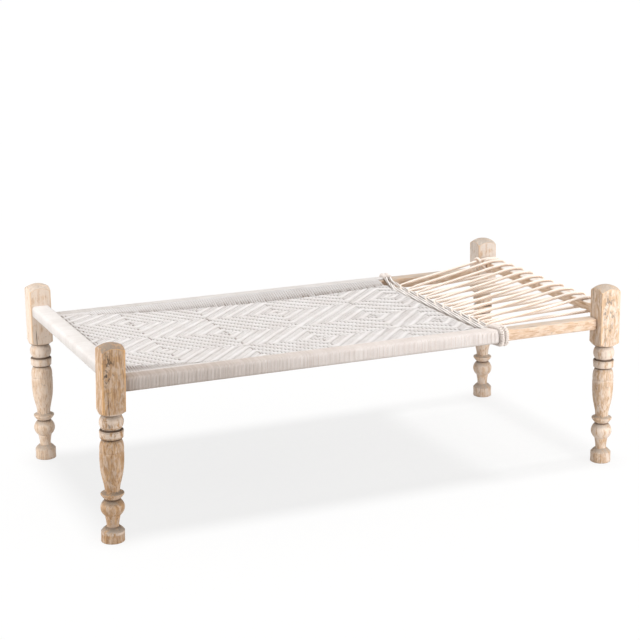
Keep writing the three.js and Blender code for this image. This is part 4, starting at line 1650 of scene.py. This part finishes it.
    def side_turns(self, side: Side) -> list[Cord]:
        """Lay the weft's turns round a side rail, with the lower strands that lead back to the panel.

        Towards the foot rope the turns slant and the last ones lean over. Near the head leg they carry a
        painted shadow of the leg.

        Args:
            side: which of the two rails.

        Returns:
            One cord per turn.
        """
        rng = random.Random(self.seed + 2 + side.value)
        front = side is Side.FRONT
        which = 0 if front else 1
        stops = ((0, 105),) + OVER_STOPS + ((3, -120), (3, -150))
        darkness = np.array(self.turn_shade_and_tone)
        if not front:
            darkness[: self.upper_stops] = self.back_top_darkening
        first = -BED.leg_x + BED.block_half + self.turn_radius
        pitch = self.turn_pitch
        wrap_end = self.rope.pass_x(0, side.value * BED.rail_inner) - self.rope.turn_radius - self.wrap_gap
        count = int((wrap_end - first) / pitch)
        low = self.field_side * self.low_share
        cords = []
        for i in range(count + self.extra_turns):
            x = first + pitch * i + rng.uniform(-self.turn_looseness, self.turn_looseness)
            lean = max(0.0, (i - count + self.leaning) / (self.leaning + self.extra_turns))
            reach = self.turn_radius + BED.fit_gap + rng.uniform(0.0, self.turn_looseness)
            points = []
            for y, z in round_side_rail(side, reach, stops):
                outward = ((side.value * y - BED.side_rail_y) / (BED.side_rail_width / 2) + 1) / 2
                slanted = self.rope_slant[which] * outward * (i / count) ** self.slant_power
                points.append((x + slanted - pitch * 2 * lean * (1 - outward), y, z))
            x_low = points[-1][0]
            z_low = self.middle_z(x_low, low) - self.thickness / 2
            points.append((x_low + pitch * self.low_lead, side.value * low, z_low))
            # worn holds the painted shadow of the head leg and the near corner, random tone, and full painted
            # shade on the last turn under the rope
            near_leg = 1 - smoothstep(i / count * self.leg_fade)
            scatter = self.dust_scatter[0] + self.dust_scatter[1] * near_leg
            worn = self.leg_shadow[which] * near_leg + rng.uniform(0.0, scatter)
            if front:
                worn += self.corner_shadow * (1 - smoothstep((x - first) / self.corner_run))
            if i == count + self.extra_turns - 1:
                worn = 1.0
            cords.append(Cord(np.array(points), np.clip(darkness + worn, 0, 1)))
        return cords

    def head_turns(self) -> list[Cord]:
        """Lay the warp's turns round the head rail, and the strands of its lower layer.

        Returns:
            One cord per turn.
        """
        rng = random.Random(self.seed + 9)
        limit = BED.leg_y - BED.block_half - self.head_gap
        count = int(2 * limit / self.turn_pitch)
        stops = ((0, 125),) + OVER_STOPS + ((3, -130), (3, -170))
        low = self.head_x + self.head_slope
        aside = self.turn_looseness / 2
        cords = []
        for k in range(count + 1):
            y = -limit + 2 * limit * k / count + rng.uniform(-aside, aside)
            reach = self.turn_radius + BED.fit_gap + rng.uniform(0.0, self.turn_looseness)
            points = [(-x, y, z) for x, z in round_end_rail(reach, stops)]
            if abs(y) < self.field_side:
                points.append((low, y, self.middle_z(low, y) - self.thickness / 2))
            # Each head turn gets an even painted shade that tones down the brightly lit head wrap
            cords.append(Cord(np.array(points), rng.uniform(*self.head_turn_shade)))
        return cords

    def build(self) -> list[Piece]:
        """Weave the panel and wind the rails.

        Returns:
            The dressed pieces.
        """
        table = self.layout()
        cord = self.finish.material()
        wound = self.wrap_finish.material()
        # A darker copy of the wrap cord, as painted shade for the head and back wraps
        clean = self.darker_wrap_finish.material()
        pieces = []
        for name, cords, radius, nodes in (
            ("warp_cords", self.warps(*table), self.warp_radius, ["woven_panel"]),
            ("weft_cords", self.wefts(*table), self.weft_radius, []),
        ):
            half = math.ceil(len(cords) / 2)
            pieces.append(cord_object(name + "_1", cords[:half], radius))
            dress(pieces[-1], cord, nodes)
            pieces.append(cord_object(name + "_2", cords[half:], radius))
            dress(pieces[-1], cord)
        for name, cords, finish, node in (
            ("weft_turns_front", self.side_turns(Side.FRONT), wound, "weft_wrap_front"),
            ("weft_turns_back", self.side_turns(Side.BACK), clean, "weft_wrap_back"),
            ("warp_turns_head", self.head_turns(), clean, "warp_wrap_head"),
        ):
            pieces.append(cord_object(name, cords, self.turn_radius))
            dress(pieces[-1], finish, [node])
        return pieces


# Tension cord


def thirds(start: Vector, end: Vector) -> list[Vector]:
    """Return the two points that divide a line in three."""
    return [start.lerp(end, 1 / 3), start.lerp(end, 2 / 3)]


@dataclass
class TensionCord:
    """One cord laced between the foot rope and the foot rail, with its end hitch."""

    finish: CottonCord
    rope: FootRope
    radius: float = 5.5
    clearance: float = 1.0
    tight: float = 0.6
    tight_reach: float = 11.0
    loosen_run: float = 30.0
    pitch: float = 75.0
    start: float = 77.5
    turns: int = 10
    fan: float = 0.884
    rope_start: float = 28.0
    turn_shift: float = 20.0
    hook_shift: float = 33.0
    start_pitch: float = 12.5
    end_pitch: float = 14.5
    end_gap: float = 22.0
    hitch_reach: float = 24.0
    tail: float = 38.0
    lay: float = 30.0
    sample: float = 4.0
    ply_reach: float = 0.5
    ply_radius: float = 0.64
    start_angles: tuple[float, ...] = (0, -45, -90, -125, -160, -195, -230, -265)
    hitch_angles: tuple[float, ...] = (200, 170, 140, 115, 90, 65, 40, 15, -5)
    up_stops: tuple[Stop, ...] = ((3, -120), (3, -150), (3, -180))
    top_stops: tuple[Stop, ...] = ((0, 180), (0, 150), (0, 120))

    def hook(self, start: float, end: float, angles: Sequence[float]) -> list[Vector]:
        """Follow the cord round the rope's last pass.

        Args:
            start: place across the bed where it starts.
            end: place where it ends.
            angles: stops round the rope in degrees.

        Returns:
            Points of the cord's middle line.
        """
        reach = self.rope.radius + self.radius * self.tight + 2 * BED.fit_gap
        near = self.radius
        points = []
        for i, degrees in enumerate(angles):
            y = start + (end - start) * i / (len(angles) - 1)
            angle = math.radians(degrees)
            slope = (self.rope.pass_x(2, y + near) - self.rope.pass_x(2, y - near)) / (2 * near)
            beside = Vector((1.0, -slope, 0.0)).normalized()
            middle = Vector(self.rope.pass_point(2, y))
            up = Vector((0, 0, reach * math.sin(angle)))
            points.append(middle + beside * (reach * math.cos(angle)) + up)
        return points

    def rail_turn(self, y: float, shift: float, stops: Sequence[Stop]) -> list[Vector]:
        """Follow the cord round the foot rail.

        Args:
            y: place across the bed where it starts.
            shift: how far it goes towards the near side meanwhile.
            stops: stops round the rail.

        Returns:
            Points of the cord's middle line.
        """
        section = round_end_rail(self.radius + BED.fit_gap, stops)
        last = len(section) - 1
        return [Vector((x, y - shift * i / last, z)) for i, (x, z) in enumerate(section)]

    def route(self) -> list[Vector]:
        """Follow the whole cord from its start round the rope to its tail.

        Returns:
            Points of its middle line.
        """
        first_y = -BED.leg_y + BED.block_half + self.start
        last_y = BED.leg_y - BED.block_half - self.end_gap
        rope_y = [first_y - self.rope_start + self.fan * self.pitch * turn for turn in range(self.turns + 1)]
        points = self.hook(rope_y[0] - self.start_pitch, rope_y[0], self.start_angles)
        points.insert(0, points[0] + Vector((0, 0, 2 * self.radius)))
        for turn in range(self.turns):
            over = self.rail_turn(first_y + self.pitch * turn, self.turn_shift, OVER_STOPS)
            level = rope_y[turn + 1]
            hook = self.hook(level - self.hook_shift, level, self.start_angles[2:])
            points += thirds(points[-1], over[0]) + over
            points += thirds(points[-1], hook[0]) + hook
        return points + self.end_hitch(points[-1], last_y)

    def end_hitch(self, start: Vector, last_y: float) -> list[Vector]:
        """Follow two turns on the foot rail, a hitch round the last strand, and the tail.

        Args:
            start: where the last strand leaves the rope.
            last_y: place of the two turns across the bed.

        Returns:
            Points of the cord's middle line.
        """
        inner = BED.leg_x - BED.end_rail_width / 2 - self.radius - BED.fit_gap
        first = self.rail_turn(last_y, self.end_pitch, OVER_STOPS + self.up_stops)
        second_stops = self.top_stops + OVER_STOPS + self.up_stops[:2]
        second = self.rail_turn(last_y - self.end_pitch, self.end_pitch, second_stops)
        reach = 2 * (self.radius + self.clearance)
        hitch = []
        for i, degrees in enumerate(self.hitch_angles):
            angle = math.radians(degrees)
            x = inner - self.hitch_reach - self.start_pitch * i / (len(self.hitch_angles) - 1)
            standing = start.lerp(first[0], (x - start.x) / (first[0].x - start.x))
            hitch.append(standing + Vector((0, reach * math.cos(angle), reach * math.sin(angle))))
        tail = [hitch[-1] - Vector((0, 0, self.tail * share)) for share in (0.5, 1.0)]
        return thirds(start, first[0]) + first + second + hitch + tail

    def build(self) -> Piece:
        """Lay the cord's three plies, pressed thinner where it is pulled tight round the rope.

        Returns:
            The dressed cord.
        """
        line = smooth_path([tuple(p) for p in self.route()], self.sample)
        from_rope = np.array([p[0] - self.rope.pass_x(2, p[1]) for p in line])
        ease = np.clip((from_rope - self.tight_reach) / self.loosen_run, 0, 1)
        girth = self.tight + (1 - self.tight) * ease
        plies = strands(line, 3, self.radius * self.ply_reach, self.lay, girth)
        # A heart line below the cord gives the undersides of the plies a painted shade
        for ply in plies:
            ply.heart = line - np.array([0.0, 0.0, 4 * self.radius])
        piece = cord_object("tension_cord_plies", plies, self.radius * self.ply_radius)
        dress(piece, self.finish.material(), ["tension_cord"])
        return piece


# Studio


@dataclass(frozen=True)
class SoftBox:
    """A square lamp beside the bed. Its places are in metres."""

    name: str
    power: float
    place: Point
    target: Point


@dataclass(frozen=True)
class Studio:
    """White floor and backdrop, soft light, and the camera at the photograph's place."""

    image_size: int = 640
    focal_pixels: float = 1698.59
    sensor: float = 36.0
    place: Point = (-2344.7, -5430.7, 2056.5)
    yaw: float = 0.40781
    pitch: float = 0.25312
    roll: float = -0.00984
    sky: str = "FFFDFA"
    world_strength: float = 0.42
    sun_strength: float = 2.45
    sun_angle: float = 16.0
    box_size: float = 1.1
    boxes: tuple[SoftBox, ...] = (
        SoftBox("left box", 22.0, (-2.4, 0.0, 1.1), (-0.9, 0.1, 0.4)),
        SoftBox("right box", 38.0, (1.5, -2.2, 1.0), (0.4, -0.4, 0.45)),
    )
    floor_size: float = 90000.0
    floor_bounce: str = "E6E4E2"
    floor_albedo: float = 0.165
    floor_glow: float = 0.808

    def camera(self) -> None:
        """Set the camera up as the one that took the photograph."""
        data = bpy.data.cameras.new("camera")
        data.sensor_width = self.sensor
        data.lens = self.sensor * self.focal_pixels / self.image_size
        data.clip_end = 200
        level = math.cos(self.pitch)
        ahead = Vector((math.sin(self.yaw) * level, math.cos(self.yaw) * level, -math.sin(self.pitch)))
        right = Vector((math.cos(self.yaw), -math.sin(self.yaw), 0.0))
        up = right.cross(ahead)
        tilt_right = right * math.cos(self.roll) + up * math.sin(self.roll)
        tilt_up = up * math.cos(self.roll) - right * math.sin(self.roll)
        turned = Matrix((tilt_right, tilt_up, -ahead)).transposed().to_4x4()
        camera = new_object("camera", data)
        camera.matrix_world = Matrix.Translation(Vector(self.place) * MM) @ turned
        bpy.context.scene.camera = camera

    def surroundings(self) -> None:
        """Surround the bed with an even sky that the camera and reflections see as white."""
        world = bpy.data.worlds.new("studio")
        world.use_nodes = True
        tree = world.node_tree
        tree.nodes.clear()
        rays = add_node(tree, "LightPath").outputs
        seen = rays["Is Camera Ray"]
        for kind in ("Is Glossy Ray", "Is Transmission Ray"):
            seen = add_node(tree, "Math", {0: seen, 1: rays[kind]}, operation="MAXIMUM").outputs[0]
        sky = add_node(tree, "Background", {"Color": linear(self.sky), "Strength": self.world_strength})
        white = add_node(tree, "Background", {"Color": (1, 1, 1, 1), "Strength": 1.0})
        mixed = add_node(tree, "MixShader", {0: seen, 1: sky.outputs[0], 2: white.outputs[0]})
        add_node(tree, "OutputWorld", {"Surface": mixed.outputs[0]})
        bpy.context.scene.world = world

    def light(self, floor: Piece) -> None:
        """Light the bed with a soft sun from above, and soft boxes beyond its head and its near foot corner.

        Args:
            floor: the floor, which the two boxes don't light, so that the shadow on it stays even.
        """
        above = bpy.data.lights.new("above", "SUN")
        above.energy = self.sun_strength
        above.angle = math.radians(self.sun_angle)
        new_object("above", above)
        for box in self.boxes:
            lamp = bpy.data.lights.new(box.name, "AREA")
            lamp.energy = box.power
            lamp.size = self.box_size
            holder = new_object(box.name, lamp)
            holder.location = box.place
            aim = Vector(box.target) - Vector(box.place)
            holder.rotation_euler = aim.to_track_quat("-Z", "Y").to_euler()
            unlit = bpy.data.collections.new(box.name + " leaves out")
            unlit.objects.link(floor)
            unlit.collection_objects[0].light_linking.link_state = "EXCLUDE"
            holder.light_linking.receiver_collection = unlit

    def floor(self) -> Piece:
        """Lay a white floor that keeps a pale shadow.

        Returns:
            The floor.
        """
        bm = bmesh.new()
        bmesh.ops.create_grid(bm, x_segments=1, y_segments=1, size=self.floor_size)
        piece = object_from_bmesh("floor", bm)
        made, tree, _ = new_material("white paper floor")
        tree.nodes.clear()
        rays = add_node(tree, "LightPath").outputs
        plain = add_node(tree, "BsdfDiffuse", {"Color": linear(self.floor_bounce)}).outputs[0]
        grey = (self.floor_albedo, self.floor_albedo, self.floor_albedo, 1)
        faint = add_node(tree, "BsdfDiffuse", {"Color": grey}).outputs[0]
        glow = add_node(tree, "Emission", {"Color": (1, 1, 1, 1), "Strength": self.floor_glow}).outputs[0]
        shown = add_node(tree, "AddShader", {0: faint, 1: glow}).outputs[0]
        mixed = add_node(tree, "MixShader", {0: rays["Is Camera Ray"], 1: plain, 2: shown}).outputs[0]
        add_node(tree, "OutputMaterial", {"Surface": mixed})
        piece.data.materials.append(made)
        return piece

    def build(self) -> None:
        """Set up the whole studio."""
        self.camera()
        self.surroundings()
        self.light(self.floor())
        bpy.context.scene.view_settings.view_transform = "Standard"


# The bed


@dataclass
class BedFrame:
    """Four legs, no two quite alike, and the four rails between them."""

    foot_span: Span = (30.0, 46.0)
    bulb_span: Span = (92.0, 146.0)
    disc_span: Span = (356.0, 384.0)
    bun_span: Span = (389.0, 433.0)
    block_span: Span = (445.0, 655.0)
    groove_heights: tuple[float, ...] = (146.5, 354.0, 386.0, 436.5)
    neck_start: float = 80.0
    neck_run: float = 12.0
    neck_width: float = 0.855
    neck_height: float = 0.88

    @property
    def end_length(self) -> float:
        """Length of an end rail between its posts."""
        return 2 * (BED.leg_y - BED.block_half)

    def shave(self, place: Vector) -> Vector:
        """Thin the foot rail beside the front leg.

        Args:
            place: point of the straight rail.

        Returns:
            Where the point comes to lie.
        """
        depth = smoothstep((-self.end_length / 2 + self.neck_start - place.x) / self.neck_run)
        width = 1 - (1 - self.neck_width) * depth
        height = 1 - (1 - self.neck_height) * depth
        return Vector((place.x, place.y * width, place.z * height))

    def tones(self) -> dict[tuple[End, Side], dict]:
        """List the colours and the wear of each leg's wood.

        Returns:
            Fields of the finish for each leg.
        """
        foot, bulb, disc = self.foot_span, self.bulb_span, self.disc_span
        bun, block = self.bun_span, self.block_span
        face_y = -BED.leg_y - BED.block_half
        return {
            (End.HEAD, Side.FRONT): {
                "ground": "B08B68", "light": "CFAB82", "dark": "8A6745", "wash": "E0CFC0", "wash_share": 0.5,
                "edge": "DDAE78", "limed": (foot, disc, bun), "limed_share": 0.85, "top": "7E7266",
                "top_share": 0.85, "marks": ((-BED.leg_x - 18, face_y, 572.0), 30.0),
            },
            (End.HEAD, Side.BACK): {
                "ground": "DABFA4", "light": "ECD7C2", "dark": "B8967A", "wash_share": 0.6,
                "limed": (disc, bun, block), "top_share": 0.7,
            },
            (End.FOOT, Side.FRONT): {
                "ground": "C4A587", "light": "DCC3A8", "dark": "A68464", "wash": "E6D9CE", "wash_share": 0.7,
                "limed": (bulb, disc, bun), "top_share": 0.8, "mark": "77716C",
                "marks": ((BED.leg_x - 8, face_y, 560.0), 36.0),
            },
            (End.FOOT, Side.BACK): {
                "ground": "CFB296", "light": "E2CBB4", "dark": "AC8B6D", "wash": "E4DAD2", "wash_share": 0.6,
                "wash_start": 0.4, "limed": (block,), "limed_share": 0.85, "top_share": 0.8,
            },
        }

    def legs(self) -> None:
        """Turn the four legs, each with its own thickness, height and lean."""
        habits = {
            (End.HEAD, Side.FRONT): {"lean": -14.0, "thickness": 1.05, "height_share": 0.98},
            (End.HEAD, Side.BACK): {"thickness": 1.01},
            (End.FOOT, Side.FRONT): {"thickness": 0.99},
            (End.FOOT, Side.BACK): {"lean": 6.0},
        }
        for (end, side), tone in self.tones().items():
            habit = habits[(end, side)]
            centre = (end.value * BED.leg_x, side.value * BED.leg_y, 0.0)
            wear = {
                "arris": 2 * BED.block_half - TurnedLeg.edge_round,
                "grooves": tuple(z * habit.get("height_share", 1.0) for z in self.groove_heights),
            }
            name = f"limed mango wood, {end.name.lower()} {side.name.lower()} leg"
            TurnedLeg(end, side, LimedWood(name, Axis.Z, centre, **wear, **tone), **habit).build()

    def rails(self) -> None:
        """Hew the side rails and the end rails."""
        side_length = 2 * (BED.leg_x - BED.block_half)
        side_tone = {
            "ground": "C7A88C", "light": "DCC2A9", "dark": "AD8B6E", "wash": "E6D4C4", "wash_share": 0.6,
            "top": "B5A99D", "top_share": 0.9,
        }
        for side in Side:
            name = side.name.lower()
            centre = (0.0, side.value * BED.side_rail_y, BED.side_rail_z)
            finish = LimedWood(f"limed mango wood, {name} rail", Axis.X, centre, **side_tone)
            HewnRail(
                f"side_rail_{name}", Axis.X, centre, side_length, BED.side_rail_width, BED.side_rail_height,
                finish, seed=3 + side.value,
            ).build()
        for end, shape in ((End.HEAD, None), (End.FOOT, self.shave)):
            node = f"{end.name.lower()}_rail"
            centre = (end.value * BED.leg_x, 0.0, BED.end_rail_z)
            finish = LimedWood(
                f"limed mango wood, {node}", Axis.Y, centre, wash_share=0.5, top="E2DEDA", top_share=1.0
            )
            HewnRail(
                node, Axis.Y, centre, self.end_length, BED.end_rail_width, BED.end_rail_height, finish,
                seed=8 + end.value, cuts=44, shape=shape,
            ).build()

    def build(self) -> None:
        """Build the legs and the rails."""
        self.legs()
        self.rails()


def main() -> None:
    """Build the studio and the bed."""
    logging.basicConfig(level=logging.INFO, format="%(message)s")
    Studio().build()
    BedFrame().build()
    weave_cord = CottonCord("soft laid cotton cord", "E2DFDE", "DBD6D4", "7D6D61", lay=9.0, relief=0.35)
    # The wraps use a lighter and a darker copy of one cotton cord, painted to match how the lamps light each
    # wrap
    brighter_wrap_cord = CottonCord("cotton cord, handled", "F2ECE9", "EAE2DE", "8E7864", lay=9.0, relief=0.2)
    darker_wrap_cord = CottonCord("cotton cord, clean", "DEDAD8", "D6D1CE", "857564", lay=9.0, relief=0.2)
    whipping = CottonCord("cotton whipping", "E9E0DA", "DCD2CB", "B0A296", lay=6.0, relief=0.2)
    rope_cord = CottonCord("soft laid cotton rope", "F1ECE9", "E9E3DF", "8A7A6E", lay=12.0, relief=0.35)
    lace_cord = CottonCord("cream cotton cord", "F7EEE5", "F1E5DB", "D8B79B", lay=10.0, relief=0.3)
    rope = FootRope(rope_cord, whipping)
    Weave(weave_cord, brighter_wrap_cord, darker_wrap_cord, rope).build()
    rope.build()
    TensionCord(lace_cord, rope).build()


if __name__ == "__main__":
    main()
